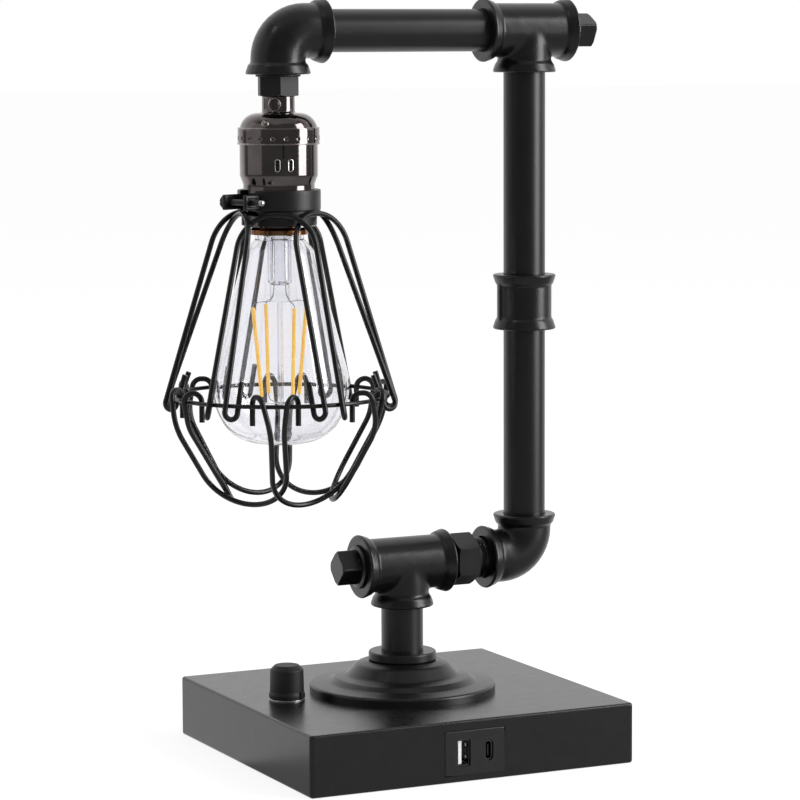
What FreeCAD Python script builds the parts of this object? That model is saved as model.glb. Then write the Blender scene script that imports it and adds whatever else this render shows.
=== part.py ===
import FreeCAD, Part
import math
import os
import re

import Sketcher
from FreeCAD import Placement, Rotation, Vector

# Table lamp made of half-inch pipe fittings on a sheet-steel base, with a lampholder,
# a clear filament bulb and a hinged wire cage. Millimetres, +Z up, +X along the front
# face of the base. The origin is the centre of the base, on the table.

SIZES = {
    # Sheet-steel base, open underneath
    "base_width": 176.6, "base_depth": 165.6, "base_height": 30.7, "base_lift": 0.2,
    "sheet_wall": 1.5, "base_edge_round": 1.3, "base_corner_round": 2.0,
    "plate_wall": 1.2, "plate_gap": 0.3, "pad_wall": 1.3, "pad_margin": 3.5,
    "post_radius": 4.5, "post_inset": 14, "screw_radius": 1.5, "screw_head_radius": 3,
    "screw_head_tall": 1, "screw_grip": 7, "screw_gap": 0.05, "screw_hole_gap": 0.3,
    # Cord bushing in the rear wall
    "cord_across": 45, "cord_up": 14, "cord_bore": 2.9, "cord_neck": 4.4, "cord_lip": 6.2,
    "cord_lip_wall": 1.8, "cord_tail": 5,
    # Charging panel in the front wall
    "panel_across": -0.6, "panel_up": 14.7, "panel_wide": 33, "panel_tall": 22.4,
    "panel_sunk": 0.8, "panel_wall": 3, "panel_fit": 0.05, "panel_lip": 1.4, "panel_round": 1.2,
    "port_shift": 1, "port_spacing": 13.6, "port_fit": 0.05, "port_sunk": 0.3, "shell_wall": 0.35,
    "port_a_wide": 6.4, "port_a_tall": 12.8, "port_a_deep": 14, "port_a_tongue": 1.9,
    "port_a_offset": 1.8, "port_c_wide": 3.8, "port_c_tall": 9.4, "port_c_deep": 8,
    "port_c_tongue": 0.7,
    "board_wide": 48, "board_deep": 34, "board_wall": 1.6, "board_gap": 0.8,
    "standoff_radius": 2.6, "standoff_inset": 4,
    # Dimmer under its knob
    "dimmer_inset": 25.8, "dimmer_back": 4, "dimmer_radius": 8.5, "dimmer_tall": 9,
    "bush_radius": 3.5, "bush_tall": 3.2, "washer_radius": 9, "washer_wall": 0.7,
    "shaft_radius": 3, "shaft_flat": 1.5, "shaft_tall": 11, "turning_gap": 0.05,
    "knob_radius": 9.1, "knob_waist_radius": 8.6, "knob_top_radius": 8.4, "knob_tall": 16.4,
    "knob_foot": 1.6, "knob_round": 0.8,
    "knob_bevel": 2.3, "knob_lift": 0.4, "knob_grip": 0.9, "knob_turn": 29.5,
    "pointer_wide": 2.2, "pointer_proud": 0.6, "pointer_tall": 3.2,
    # Floor flange and its stem
    "flange_radius": 47.3, "flange_rim": 4.2, "flange_rim_round": 1.4, "flange_foot": 4,
    "flange_cove": 3.5, "flange_slope": 0.9, "flange_step": 3.3, "flange_step_radius": 34,
    "flange_step_round": 2.6, "flange_tread": 5.5, "flange_tall": 15.7,
    "flange_neck_radius": 20.5, "flange_neck_round": 4, "flange_neck_bevel": 1.4, "flange_wall": 2,
    "collar_round": 0.9,
    "collar_radius": 17.2, "collar_tall": 4.7, "nut_flats": 30, "nut_tall": 6,
    # Half-inch pipe and malleable fittings
    "pipe_od": 21.3, "pipe_bore": 16.4, "thread_gap": 0.04, "pipe_chamfer": 0.7,
    "face_reach": 21.3, "run_reach": 24.3, "socket_deep": 10, "socket_end_gap": 0.3,
    "socket_bevel": 1, "body_radius": 13.6, "bead_radius": 16.4, "bead_root": 14.8,
    "bead_long": 4.8, "bead_round": 0.7, "bead_step": 0.7, "bend_radius": 14,
    "run_up": 95.7, "column_across": 70.2, "arm_up": 364.8, "head_across": -66.4,
    "coupling_up": 226.6, "coupling_long": 28.2, "coupling_deep": 12, "coupling_root": 14,
    "rib_wide": 3, "rib_proud": 0.9,
    "plug_thread": 8, "plug_shoulder": 1.8, "plug_relief": 1.6, "plug_square": 13,
    "plug_head": 10.4, "plug_bevel": 1, "plug_crown": 1.8, "plug_turn": 45,
    "upper_plug_turn": 29, "upper_plug_stand": 1.6,
    "nipple_flats": 23.4, "nipple_hex": 9.8, "nipple_relief": 0.9, "nipple_shift": 1.6,
    "hex_crown": 1.1,
    # Lampholder
    "bushing_flats": 18.9, "bushing_hex": 9.4, "bushing_flange": 11.1, "bushing_turn": 12.8,
    "tube_radius": 5, "tube_bore": 3.6, "tube_long": 29,
    "holder_top": 333, "neck_radius": 8.1, "neck_tall": 8, "neck_root": 1, "dome_tall": 7.4,
    "dome_inset": 3.4, "dome_fall": 0.8, "dome_round": 9, "cap_radius": 20.2, "cap_step": 1,
    "cap_skirt": 8.3, "cap_lip": 0.4, "spun_wall": 0.8, "shell_radius": 19.3, "shell_lap": 1.2,
    "shell_drop": 15.2, "waist_radius": 17.7, "waist_drop": 21, "waist_round": 4,
    "holder_tall": 63.9, "core_tall": 13, "core_up": 296.3, "thread_fit": 0.1, "seat_gap": 0.04,
    "thread_shell_wall": 0.4, "thread_shell_tall": 22, "thread_shell_step": 5, "contact_radius": 3,
    "grub_radius": 2.5, "grub_turn": -128, "grub_proud": 0.9, "grub_slot": 0.6,
    # Wire cage
    "clamp_radius": 20.6, "clamp_wall": 2.86, "clamp_up": 277, "clamp_tall": 11,
    "clamp_round": 0.5,
    "sleeve_wall": 0.9, "sleeve_drop": 7.3, "clamp_slit": 6, "clamp_turn": -155.6,
    "ear_reach": 29.5, "ear_wall": 2.2, "ear_tall": 7.5, "ear_wide": 10, "ear_back": 9,
    "bolt_radius": 1.9, "bolt_long": 23.5, "bolt_reach": 25.6, "bolt_head": 3.4,
    "bolt_head_tall": 2.6, "bolt_gap": 0.05, "bolt_bevel": 0.5, "bolt_slot": 1,
    "cage_turn": 3.4, "wire_radius": 1.35, "ring_radius": 53.4, "ring_wire": 1.05,
    "ring_up": 185.1, "arch_count": 6, "arch_top_reach": 20.8,
    "arch_half_angle": 37, "arch_crown": 18.6, "arch_corner": 16.8, "arch_weave": 3.1,
    "foot_half": 3.45, "foot_drop": 6.6, "foot_tip": 11.5,
    "petal_half_angle": 39.4, "petal_in": 21, "petal_drop": 51.8, "petal_corner": 18.5,
    "petal_round": 24, "petal_weave": 2.6, "hook_half": 4.7, "hook_tip": 9.6, "hook_neck": 13,
    "neck_bend": 24, "hook_curl": 0.97,
    # Clear filament bulb
    "bulb_cap_radius": 12.95, "bulb_cap_tall": 25, "bulb_cap_up": 265.1, "bulb_skirt": 14.6,
    "bulb_skirt_tall": 3.6, "bulb_skirt_round": 0.6, "bulb_crown": 5, "bulb_wall": 0.9,
    "bulb_tip": 159.3, "bulb_radius": 36.4,
    "bulb_neck": 17.6, "bulb_neck_up": 256.7, "bulb_wide_rise": 26.5, "bulb_shoulder_round": 7,
    "bulb_belly_round": 34, "bulb_base_radius": 25, "bulb_base_round": 22, "bulb_throat": 6,
    "bulb_tip_rise": 4.5, "mount_radius": 6.4, "mount_tall": 19, "mount_pinch": 3, "mount_taper": 4,
    "mount_rise": 1, "mount_wall": 0.8, "rod_radius": 1, "rod_rise": 20.5, "filament_radius": 0.95,
    "filament_top": 15, "filament_base": 10, "filament_fall": 8.5, "filament_rise": 5.4,
    "filament_turn": -175.6, "filament_count": 4, "lead_radius": 0.35,
    # Lamp wire inside the pipes
    "lead_wire": 1.9, "lead_bend": 8, "lead_gap": 0.3,
}

doc = FreeCAD.newDocument("pipe_table_lamp")
sheet = doc.addObject("Spreadsheet::Sheet", "Sizes")
for row, (alias, number) in enumerate(SIZES.items(), start=1):
    sheet.set(f"A{row}", alias)
    sheet.set(f"B{row}", str(number))
    sheet.setAlias(f"B{row}", alias)
doc.recompute()

FUNCTIONS = ("sin", "cos", "tan", "sqrt")
AXIS_Z = Vector(0, 0, 1)
UPRIGHT = Rotation()
ALONG_X = Rotation(Vector(0, 1, 0), 90)
ALONG_BACK_X = Rotation(Vector(0, 1, 0), -90)
ALONG_Y = Rotation(Vector(1, 0, 0), -90)
subparts = []


def on_sheet(formula):
    """The formula with each size's name pointing at the sheet."""
    def point(match):
        word = match.group(0)
        return word if word in FUNCTIONS else "Sizes." + word
    return re.sub(r"[a-z][a-z_]+", point, str(formula))


def size(formula):
    """The present value of a formula of sizes."""
    return float(sheet.evalExpression(str(formula)))


def spot(*formulas):
    return Vector(*[size(formula) for formula in formulas])


# ---------------------------------------------------------------- building blocks

def place(thing, across=0, back=0, up=0, turn=UPRIGHT):
    thing.Placement = Placement(spot(across, back, up), turn)
    for side, formula in zip("xyz", (across, back, up)):
        thing.setExpression(f"Placement.Base.{side}", on_sheet(formula))
    return thing


def new_body(label):
    body = doc.addObject("PartDesign::Body", label)
    body.Label = label
    return body


def keep(thing, label):
    thing.Label = label
    subparts.append(thing)
    return thing


def new_sketch(body, role, lift=None):
    """A sketch on one of the body's origin planes, raised along its normal by lift."""
    sketch = body.newObject("Sketcher::SketchObject", body.Label + "_sketch")
    plane = next(f for f in body.Origin.OriginFeatures if f.Role == role)
    sketch.AttachmentSupport = (plane, [""])
    sketch.MapMode = "FlatFace"
    if lift is not None:
        sketch.AttachmentOffset = Placement(spot(0, 0, lift), UPRIGHT)
        sketch.setExpression("AttachmentOffset.Base.z", on_sheet(lift))
    return sketch


def tie(sketch, geometry, point, formulas):
    """Fixes a point of the sketch at a distance of these formulas from the origin."""
    for kind, formula in zip(("DistanceX", "DistanceY"), formulas):
        rule = Sketcher.Constraint(kind, -1, 1, geometry, point, size(formula))
        number = sketch.addConstraint(rule)
        sketch.setExpression(f"Constraints[{number}]", on_sheet(formula))


def rounded_corner(before, corner, after, radius):
    """Tangent points and centre of an arc of this radius in a corner."""
    back = (before - corner).normalize()
    ahead = (after - corner).normalize()
    half = back.getAngle(ahead) / 2
    leg = radius / math.tan(half)
    middle = corner + (back + ahead).normalize() * (radius / math.sin(half))
    return corner + back * leg, corner + ahead * leg, middle


def outline(sketch, corners):
    """A closed outline. A corner is (x, y), or (x, y, radius) where it is rounded."""
    count = len(corners)
    points = [spot(corner[0], corner[1], 0) for corner in corners]
    arcs = {}
    for i, corner in enumerate(corners):
        if len(corner) == 3:
            neighbours = points[i - 1], points[i], points[(i + 1) % count]
            arcs[i] = rounded_corner(*neighbours, size(corner[2]))
    lines = []
    for i in range(count):
        j = (i + 1) % count
        start = arcs[i][1] if i in arcs else points[i]
        end = arcs[j][0] if j in arcs else points[j]
        lines.append(sketch.addGeometry(Part.LineSegment(start, end)))
    for i, corner in enumerate(corners):
        before, after = lines[i - 1], lines[i]
        if i not in arcs:
            sketch.addConstraint(Sketcher.Constraint("Coincident", before, 2, after, 1))
            tie(sketch, after, 1, corner[:2])
            continue
        start, end, middle = arcs[i]
        halfway = middle + (points[i] - middle).normalize() * (start - middle).Length
        arc = sketch.addGeometry(Part.Arc(start, halfway, end))
        clockwise = (start - middle).cross(end - middle).z < 0
        first, last = (2, 1) if clockwise else (1, 2)
        mark = sketch.addGeometry(Part.Point(points[i]), True)
        tie(sketch, mark, 1, corner[:2])
        sketch.addConstraint(Sketcher.Constraint("PointOnObject", mark, 1, before))
        sketch.addConstraint(Sketcher.Constraint("PointOnObject", mark, 1, after))
        sketch.addConstraint(Sketcher.Constraint("Tangent", before, 2, arc, first))
        sketch.addConstraint(Sketcher.Constraint("Tangent", after, 1, arc, last))
        number = sketch.addConstraint(Sketcher.Constraint("Radius", arc, size(corner[2])))
        sketch.setExpression(f"Constraints[{number}]", on_sheet(corner[2]))
    return sketch


def circle(sketch, across, up, radius):
    ring = sketch.addGeometry(Part.Circle(spot(across, up, 0), AXIS_Z, size(radius)))
    tie(sketch, ring, 3, (across, up))
    number = sketch.addConstraint(Sketcher.Constraint("Radius", ring, size(radius)))
    sketch.setExpression(f"Constraints[{number}]", on_sheet(radius))
    return sketch


def box_corners(across, up, wide, tall, radius=None):
    """Corners of a rectangle about a centre."""
    sides = ((-1, -1), (1, -1), (1, 1), (-1, 1))
    end = () if radius is None else (radius,)
    return [(f"{across} + {i} * ({wide}) / 2", f"{up} + {j} * ({tall}) / 2") + end for i, j in sides]


def hexagon_corners(flats):
    """Corners of a hexagon with one pair of flats facing the sketch's second axis."""
    half, tip = f"({flats}) / 2 * tan(30)", f"({flats}) / 2 / cos(30)"
    return [(half, f"({flats}) / 2"), (f"-({half})", f"({flats}) / 2"), (f"-({tip})", 0),
            (f"-({half})", f"-({flats}) / 2"), (half, f"-({flats}) / 2"), (tip, 0)]


def add_feature(body, kind, sketch, **settings):
    """A feature on this sketch. A text setting is a formula of sizes."""
    feature = body.newObject("PartDesign::" + kind, body.Label + "_" + kind.lower())
    feature.Profile = sketch
    for name, setting in settings.items():
        if isinstance(setting, str) and name in ("Length", "Angle"):
            setattr(feature, name, size(setting))
            feature.setExpression(name, on_sheet(setting))
        else:
            setattr(feature, name, setting)
    sketch.Visibility = False
    return feature


def pad(body, role, corners, length, lift=None, down=False):
    sketch = outline(new_sketch(body, role, lift), corners)
    return add_feature(body, "Pad", sketch, Length=length, Reversed=down)


def pocket(body, role, corners, length, lift=None, forward=False):
    """Cuts against the sketch's normal, or along it where forward is set."""
    sketch = outline(new_sketch(body, role, lift), corners)
    return add_feature(body, "Pocket", sketch, Length=length, Reversed=forward)


def drill(body, role, holes, length, lift=None, forward=False):
    sketch = new_sketch(body, role, lift)
    for hole in holes:
        circle(sketch, *hole)
    return add_feature(body, "Pocket", sketch, Length=length, Reversed=forward)


def revolve(body, corners, kind="Revolution", axis="V_Axis", role="XZ_Plane"):
    sketch = outline(new_sketch(body, role), corners)
    return add_feature(body, kind, sketch, ReferenceAxis=(sketch, [axis]), Angle="360")


def turned(label, corners):
    """A piece turned about its own Z, from (radius, height) corners."""
    body = new_body(label)
    revolve(body, corners)
    return keep(body, label)


def tube_corners(outer, inner, low, high, bevel):
    """A tube from low to high with bevelled outer ends."""
    return [(inner, low), (f"{outer} - {bevel}", low), (outer, f"{low} + {bevel}"),
            (outer, f"{high} - {bevel}"), (f"{outer} - {bevel}", high), (inner, high)]


def bent_path(points, radii):
    """Straight runs through the points, joined by tangent arcs of these radii."""
    edges, start = [], points[0]
    for i, radius in enumerate(radii, start=1):
        first, last, middle = rounded_corner(points[i - 1], points[i], points[i + 1], radius)
        halfway = middle + (points[i] - middle).normalize() * radius
        if (first - start).Length > 1e-4:
            edges.append(Part.LineSegment(start, first).toShape())
        edges.append(Part.Arc(first, halfway, last).toShape())
        start = last
    edges.append(Part.LineSegment(start, points[-1]).toShape())
    return Part.Wire(edges)


def round_bar(points, radii, radius):
    """A round bar of this radius bent along a path."""
    path = bent_path(points, radii)
    rim = Part.Wire(Part.Circle(points[0], points[1] - points[0], radius).toShape())
    return path.makePipeShell([rim], True, True)


def shape_part(label, shape, across=0, back=0, up=0, turn=UPRIGHT):
    """A sub-part whose shape is computed, set on its place afterwards."""
    thing = doc.addObject("Part::Feature", label)
    thing.Shape = shape
    return keep(place(thing, across, back, up, turn), label)


# ---------------------------------------------------------------- base

def post_spots():
    across = "(base_width / 2 - post_inset)"
    back = "(base_depth / 2 - post_inset)"
    return [(f"{i} * {across}", f"{j} * {back}") for i in (-1, 1) for j in (-1, 1)]


def make_base():
    shell = new_body("base_shell")
    pad(shell, "XY_Plane", box_corners(0, 0, "base_width", "base_depth", "base_corner_round"),
        "base_height - base_lift", "base_lift")
    doc.recompute()
    block = shell.Tip
    rims = []
    for number, edge in enumerate(block.Shape.Edges, start=1):
        if abs(edge.BoundBox.ZMax - edge.BoundBox.ZMin) < size("base_edge_round") / 10:
            rims.append(f"Edge{number}")
    fillet = shell.newObject("PartDesign::Fillet", "base_shell_fillet")
    fillet.Base = (block, rims)
    fillet.Radius = size("base_edge_round")
    fillet.setExpression("Radius", on_sheet("base_edge_round"))
    hollow = box_corners(0, 0, "base_width - 2 * sheet_wall", "base_depth - 2 * sheet_wall",
                         "base_corner_round")
    pocket(shell, "XY_Plane", hollow, "base_height - sheet_wall", forward=True)
    posts = new_sketch(shell, "XY_Plane", "pad_wall + plate_wall")
    for across, back in post_spots():
        circle(posts, across, back, "post_radius")
    add_feature(shell, "Pad", posts, Length="base_height - sheet_wall / 2 - pad_wall - plate_wall")
    pilots = [post + ("screw_radius + screw_gap",) for post in post_spots()]
    drill(shell, "XY_Plane", pilots, "pad_wall + plate_wall + screw_grip + 1", forward=True)
    top_holes = [(0, 0, "pipe_od / 2 + thread_gap"),
                 (*dimmer_spot(), "bush_radius + panel_fit")]
    drill(shell, "XY_Plane", top_holes, "base_height + 1", forward=True)
    window = box_corners("panel_across", "panel_up", "panel_wide + 2 * panel_fit",
                         "panel_tall + 2 * panel_fit", "panel_round")
    pocket(shell, "XZ_Plane", window, "base_depth", forward=True)
    drill(shell, "XZ_Plane", [("cord_across", "cord_up", "cord_neck + panel_fit")], "base_depth")
    keep(shell, "base_shell")

    plate = new_body("base_plate")
    rim = "2 * (sheet_wall + plate_gap)"
    pad(plate, "XY_Plane", box_corners(0, 0, f"base_width - {rim}", f"base_depth - {rim}",
                                       "base_corner_round"), "plate_wall", "pad_wall")
    standoffs = new_sketch(plate, "XY_Plane", "pad_wall + plate_wall / 2")
    for across, back in board_spots():
        circle(standoffs, across, back, "standoff_radius")
    add_feature(plate, "Pad", standoffs, Length=f"{board_low()} - pad_wall - plate_wall / 2")
    holes = [post + ("screw_radius + screw_hole_gap",) for post in post_spots()]
    drill(plate, "XY_Plane", holes, "pad_wall + 2 * plate_wall", forward=True)
    keep(plate, "base_plate")

    sole = new_body("base_pad")
    margin = "2 * (sheet_wall + plate_gap + pad_margin)"
    pad(sole, "XY_Plane", box_corners(0, 0, f"base_width - {margin}", f"base_depth - {margin}",
                                      "post_radius"), "pad_wall")
    holes = [post + ("screw_head_radius + 1",) for post in post_spots()]
    drill(sole, "XY_Plane", holes, "2 * pad_wall", forward=True)
    keep(sole, "base_pad")

    screws = new_body("base_screws")
    heads = new_sketch(screws, "XY_Plane", "pad_wall - screw_head_tall")
    shanks = new_sketch(screws, "XY_Plane", "pad_wall")
    for across, back in post_spots():
        circle(heads, across, back, "screw_head_radius")
        circle(shanks, across, back, "screw_radius")
    screws.AllowCompound = True
    add_feature(screws, "Pad", heads, Length="screw_head_tall")
    add_feature(screws, "Pad", shanks, Length="plate_wall + screw_grip")
    keep(screws, "base_screws")


def make_cord_bushing():
    bushing = turned("cord_bushing", [
        ("cord_bore", "-cord_tail"), ("cord_neck", "-cord_tail"), ("cord_neck", 0),
        ("cord_lip", 0), ("cord_lip", "cord_lip_wall", "cord_lip_wall / 2"),
        ("cord_bore", "cord_lip_wall")])
    place(bushing, "cord_across", "base_depth / 2", "cord_up", ALONG_Y)


# ---------------------------------------------------------------- charging panel

def port_spots():
    """Centre, width, height and depth of the two ports."""
    left = "(panel_across + port_shift - port_spacing / 2)"
    right = "(panel_across + port_shift + port_spacing / 2)"
    return {"a": (left, "port_a_wide", "port_a_tall", "port_a_deep", "port_a_wide / 6"),
            "c": (right, "port_c_wide", "port_c_tall", "port_c_deep", "port_c_wide / 2 - 0.1")}


def board_low():
    return "(panel_up - port_a_tall / 2 - board_wall)"


def board_spots():
    across = "(board_wide / 2 - standoff_inset)"
    middle = "(-base_depth / 2 + panel_sunk + panel_wall + board_gap + board_deep / 2)"
    back = "(board_deep / 2 - standoff_inset)"
    return [(f"panel_across + {i} * {across}", f"{middle} + {j} * {back}")
            for i in (-1, 1) for j in (-1, 1)]


def make_charging_panel():
    face = "base_depth / 2 - panel_sunk"
    panel = new_body("usb_panel")
    edge = box_corners("panel_across", "panel_up", "panel_wide", "panel_tall", "panel_round")
    pad(panel, "XZ_Plane", edge, "panel_wall", f"{face} - panel_wall")
    lip = box_corners("panel_across", "panel_up", "panel_wide + 2 * panel_lip",
                      "panel_tall - 2 * panel_lip", "panel_round")
    pad(panel, "XZ_Plane", lip, "panel_wall + panel_sunk - sheet_wall", f"{face} - panel_wall")
    for across, wide, tall, deep, bend in port_spots().values():
        hole = box_corners(across, "panel_up", f"{wide} + 2 * port_fit", f"{tall} + 2 * port_fit",
                           f"{bend} + port_fit")
        pocket(panel, "XZ_Plane", hole, "panel_wall + 1", face)
    keep(panel, "usb_panel")

    front = f"{face} - port_sunk"
    for name, (across, wide, tall, deep, bend) in port_spots().items():
        shell = new_body(f"usb_{name}_shell")
        pad(shell, "XZ_Plane", box_corners(across, "panel_up", wide, tall, bend), deep,
            f"{front} - {deep}")
        mouth = box_corners(across, "panel_up", f"{wide} - 2 * shell_wall",
                            f"{tall} - 2 * shell_wall", f"{bend} - shell_wall")
        pocket(shell, "XZ_Plane", mouth, f"{deep} - shell_wall", front)
        keep(shell, f"usb_{name}_shell")
    tongues = {"a": ("port_a_tongue", "port_a_tall - 4 * shell_wall", "port_a_offset"),
               "c": ("port_c_tongue", "port_c_tall - port_c_wide", "0")}
    for name, (wall, high, offset) in tongues.items():
        across, wide, tall, deep, bend = port_spots()[name]
        tongue = new_body(f"usb_{name}_tongue")
        back = f"{front} - {deep} + shell_wall"
        inset = "(shell_wall + port_fit)"
        block = box_corners(across, "panel_up", f"{wide} - 2 * {inset}", f"{tall} - 2 * {inset}",
                            f"{bend} - {inset}")
        pad(tongue, "XZ_Plane", block, f"{deep} / 4", back)
        pad(tongue, "XZ_Plane", box_corners(f"{across} - {offset}", "panel_up", wall, high),
            f"{deep} - 2.5 * shell_wall", back)
        keep(tongue, f"usb_{name}_tongue")

    board = new_body("circuit_board")
    middle = f"{face} - panel_wall - board_gap - board_deep / 2"
    pad(board, "XY_Plane", box_corners("panel_across", f"-({middle})", "board_wide", "board_deep"),
        "board_wall", board_low())
    rest = box_corners(port_spots()["c"][0], f"-({face} - port_c_deep)", "port_c_tall",
                       "port_c_deep / 2")
    pad(board, "XY_Plane", rest, "board_wall / 2 + (port_a_tall - port_c_tall) / 2",
        f"{board_low()} + board_wall / 2")
    keep(board, "circuit_board")


# ---------------------------------------------------------------- dimmer

def dimmer_spot():
    """Across and back, set in from the base's left edge."""
    return "dimmer_inset - base_width / 2", "dimmer_back"


def make_dimmer():
    top = "base_height"
    dimmer = turned("dimmer", [
        ("shaft_radius + turning_gap", "-sheet_wall - dimmer_tall"),
        ("dimmer_radius", "-sheet_wall - dimmer_tall"), ("dimmer_radius", "-sheet_wall"),
        ("bush_radius", "-sheet_wall"), ("bush_radius", "bush_tall"),
        ("shaft_radius + turning_gap", "bush_tall")])
    place(dimmer, *dimmer_spot(), top)
    washer = turned("dimmer_washer", [
        ("bush_radius + panel_fit", 0), ("washer_radius", 0),
        ("washer_radius", "washer_wall", "washer_wall / 2"),
        ("bush_radius + panel_fit", "washer_wall")])
    place(washer, *dimmer_spot(), top)

    shaft = new_body("dimmer_shaft")
    low = "-sheet_wall - dimmer_tall"
    revolve(shaft, [(0, low), ("shaft_radius", low), ("shaft_radius", "shaft_tall", "cap_lip"),
                    (0, "shaft_tall")])
    flat = box_corners(0, "shaft_flat + shaft_radius / 2", "3 * shaft_radius", "shaft_radius")
    pocket(shaft, "XY_Plane", flat, "shaft_tall", "bush_tall + knob_lift", forward=True)
    turn = Rotation(AXIS_Z, size("knob_turn"))
    keep(place(shaft, *dimmer_spot(), top, turn), "dimmer_shaft")

    knob = new_body("dimmer_knob")
    foot = "washer_wall + knob_lift"
    revolve(knob, [
        ("bush_radius + knob_grip", foot), ("knob_radius", foot),
        ("knob_radius", f"{foot} + knob_foot"), ("knob_waist_radius", f"{foot} + 2 * knob_foot"),
        ("knob_top_radius", f"{foot} + knob_tall - knob_bevel", "knob_round"),
        ("knob_top_radius - knob_bevel", f"{foot} + knob_tall", "knob_round"),
        (0, f"{foot} + knob_tall"),
        (0, "shaft_tall + knob_grip"), ("shaft_radius + turning_gap", "shaft_tall + knob_grip"),
        ("shaft_radius + turning_gap", "bush_tall + knob_lift"),
        ("bush_radius + knob_grip", "bush_tall + knob_lift")])
    key = "shaft_radius - shaft_flat - turning_gap"
    middle = "shaft_radius + turning_gap - (shaft_radius - shaft_flat - turning_gap) / 2"
    pad(knob, "XY_Plane", box_corners(0, middle, "2 * shaft_radius", key),
        "shaft_tall + knob_grip - bush_tall", "bush_tall + knob_lift")
    pointer = box_corners(0, "-knob_radius", "pointer_wide", "2 * pointer_proud")
    pad(knob, "XY_Plane", pointer, "pointer_tall", foot)
    keep(place(knob, *dimmer_spot(), top, turn), "dimmer_knob")


# ---------------------------------------------------------------- stem

def make_flange():
    bore = "pipe_od / 2 + thread_gap"
    ceiling = "flange_tall - flange_wall"
    tread = "flange_rim + flange_step"
    flange = turned("floor_flange", [
        (bore, ceiling), ("flange_neck_radius - 1.5 * flange_wall", ceiling),
        ("flange_radius - 1.5 * flange_foot", "flange_wall / 2"), ("flange_radius - flange_foot", 0),
        ("flange_radius", 0), ("flange_radius", "flange_rim", "flange_rim_round"),
        ("flange_step_radius + flange_cove", "flange_rim + flange_slope", "flange_cove"),
        ("flange_step_radius", tread, "flange_step_round"),
        ("flange_step_radius - flange_tread", f"{tread} + flange_slope", "flange_cove"),
        ("flange_neck_radius + 2 * flange_neck_bevel", "flange_tall - flange_neck_bevel",
         "flange_neck_round"),
        ("flange_neck_radius - flange_neck_bevel", "flange_tall"), (bore, "flange_tall")])
    place(flange, up="base_height")
    collar = turned("stem_collar", [
        (bore, 0), ("collar_radius", 0, "collar_round"),
        ("collar_radius", "collar_tall", "collar_round"), (bore, "collar_tall")])
    place(collar, up="base_height + flange_tall")

    nut = new_body("stem_locknut")
    under = "base_height - sheet_wall"
    pad(nut, "XY_Plane", hexagon_corners("nut_flats"), "nut_tall", f"{under} - nut_tall")
    drill(nut, "XY_Plane", [(0, 0, bore)], "base_height", forward=True)
    keep(nut, "stem_locknut")


def make_pipe(label, low, high, **where):
    """A straight length of pipe along its own Z."""
    pipe = turned(label, tube_corners("pipe_od / 2", "pipe_bore / 2", low, high, "pipe_chamfer"))
    return place(pipe, **where)


# ---------------------------------------------------------------- fittings

def bead_corners(reach):
    """Half of a fitting's barrel, from its middle to the bead at its mouth."""
    return [(0, 0), (0, reach), ("bead_radius", reach, "bead_round"),
            ("bead_root", f"{reach} - bead_long", "bead_round"),
            ("body_radius", f"{reach} - bead_long - bead_step"), ("body_radius", 0)]


def mouth_corners(reach):
    """The threaded socket of a mouth, down to the waterway."""
    socket = "pipe_od / 2 + thread_gap"
    floor = f"{reach} - socket_deep - socket_end_gap"
    return [(0, f"{reach} + socket_bevel"), (f"{socket} + socket_bevel", f"{reach} + socket_bevel"),
            (socket, reach), (socket, floor), ("pipe_bore / 2", floor), ("pipe_bore / 2", 0), (0, 0)]


def swapped(corners, sign=1):
    """The same outline laid along the first axis."""
    return [(f"{sign} * ({corner[1]})", corner[0]) + corner[2:] for corner in corners]


def downward(corners):
    return [(corner[0], f"-({corner[1]})") + corner[2:] for corner in corners]


def make_tee(label, **where):
    """A tee with its run along X and its branch pointing down."""
    tee = new_body(label)
    for sign in (1, -1):
        revolve(tee, swapped(bead_corners("run_reach"), sign), axis="H_Axis")
    revolve(tee, downward(bead_corners("face_reach")))
    for sign in (1, -1):
        revolve(tee, swapped(mouth_corners("run_reach"), sign), "Groove", "H_Axis")
    revolve(tee, downward(mouth_corners("face_reach")), "Groove")
    return keep(place(tee, **where), label)


def bend_sketch(body):
    """The centre-line of a quarter bend from the Z leg to the X leg."""
    spine = new_sketch(body, "XZ_Plane")
    rise, reach, bend = size("face_reach"), size("run_reach"), size("bend_radius")
    turn = Part.Arc(Vector(0, bend, 0), Vector(bend, bend, 0) - Vector(bend, bend, 0) / math.sqrt(2),
                    Vector(bend, 0, 0))
    stem = spine.addGeometry(Part.LineSegment(Vector(0, rise, 0), Vector(0, bend, 0)))
    arc = spine.addGeometry(turn)
    arm = spine.addGeometry(Part.LineSegment(Vector(bend, 0, 0), Vector(reach, 0, 0)))
    tie(spine, stem, 1, (0, "face_reach"))
    tie(spine, stem, 2, (0, "bend_radius"))
    tie(spine, arm, 1, ("bend_radius", 0))
    tie(spine, arm, 2, ("run_reach", 0))
    spine.addConstraint(Sketcher.Constraint("Coincident", arc, 1, stem, 2))
    spine.addConstraint(Sketcher.Constraint("Coincident", arc, 2, arm, 1))
    centre = Sketcher.Constraint("DistanceX", -1, 1, arc, 3, bend)
    number = spine.addConstraint(centre)
    spine.setExpression(f"Constraints[{number}]", on_sheet("bend_radius"))
    return spine


def bend_feature(body, kind, radius):
    rim = circle(new_sketch(body, "XY_Plane", "face_reach"), 0, 0, radius)
    spine = bend_sketch(body)
    sweep = add_feature(body, kind, rim)
    sweep.Spine = (spine, ["Edge1", "Edge2", "Edge3"])
    return sweep


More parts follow.
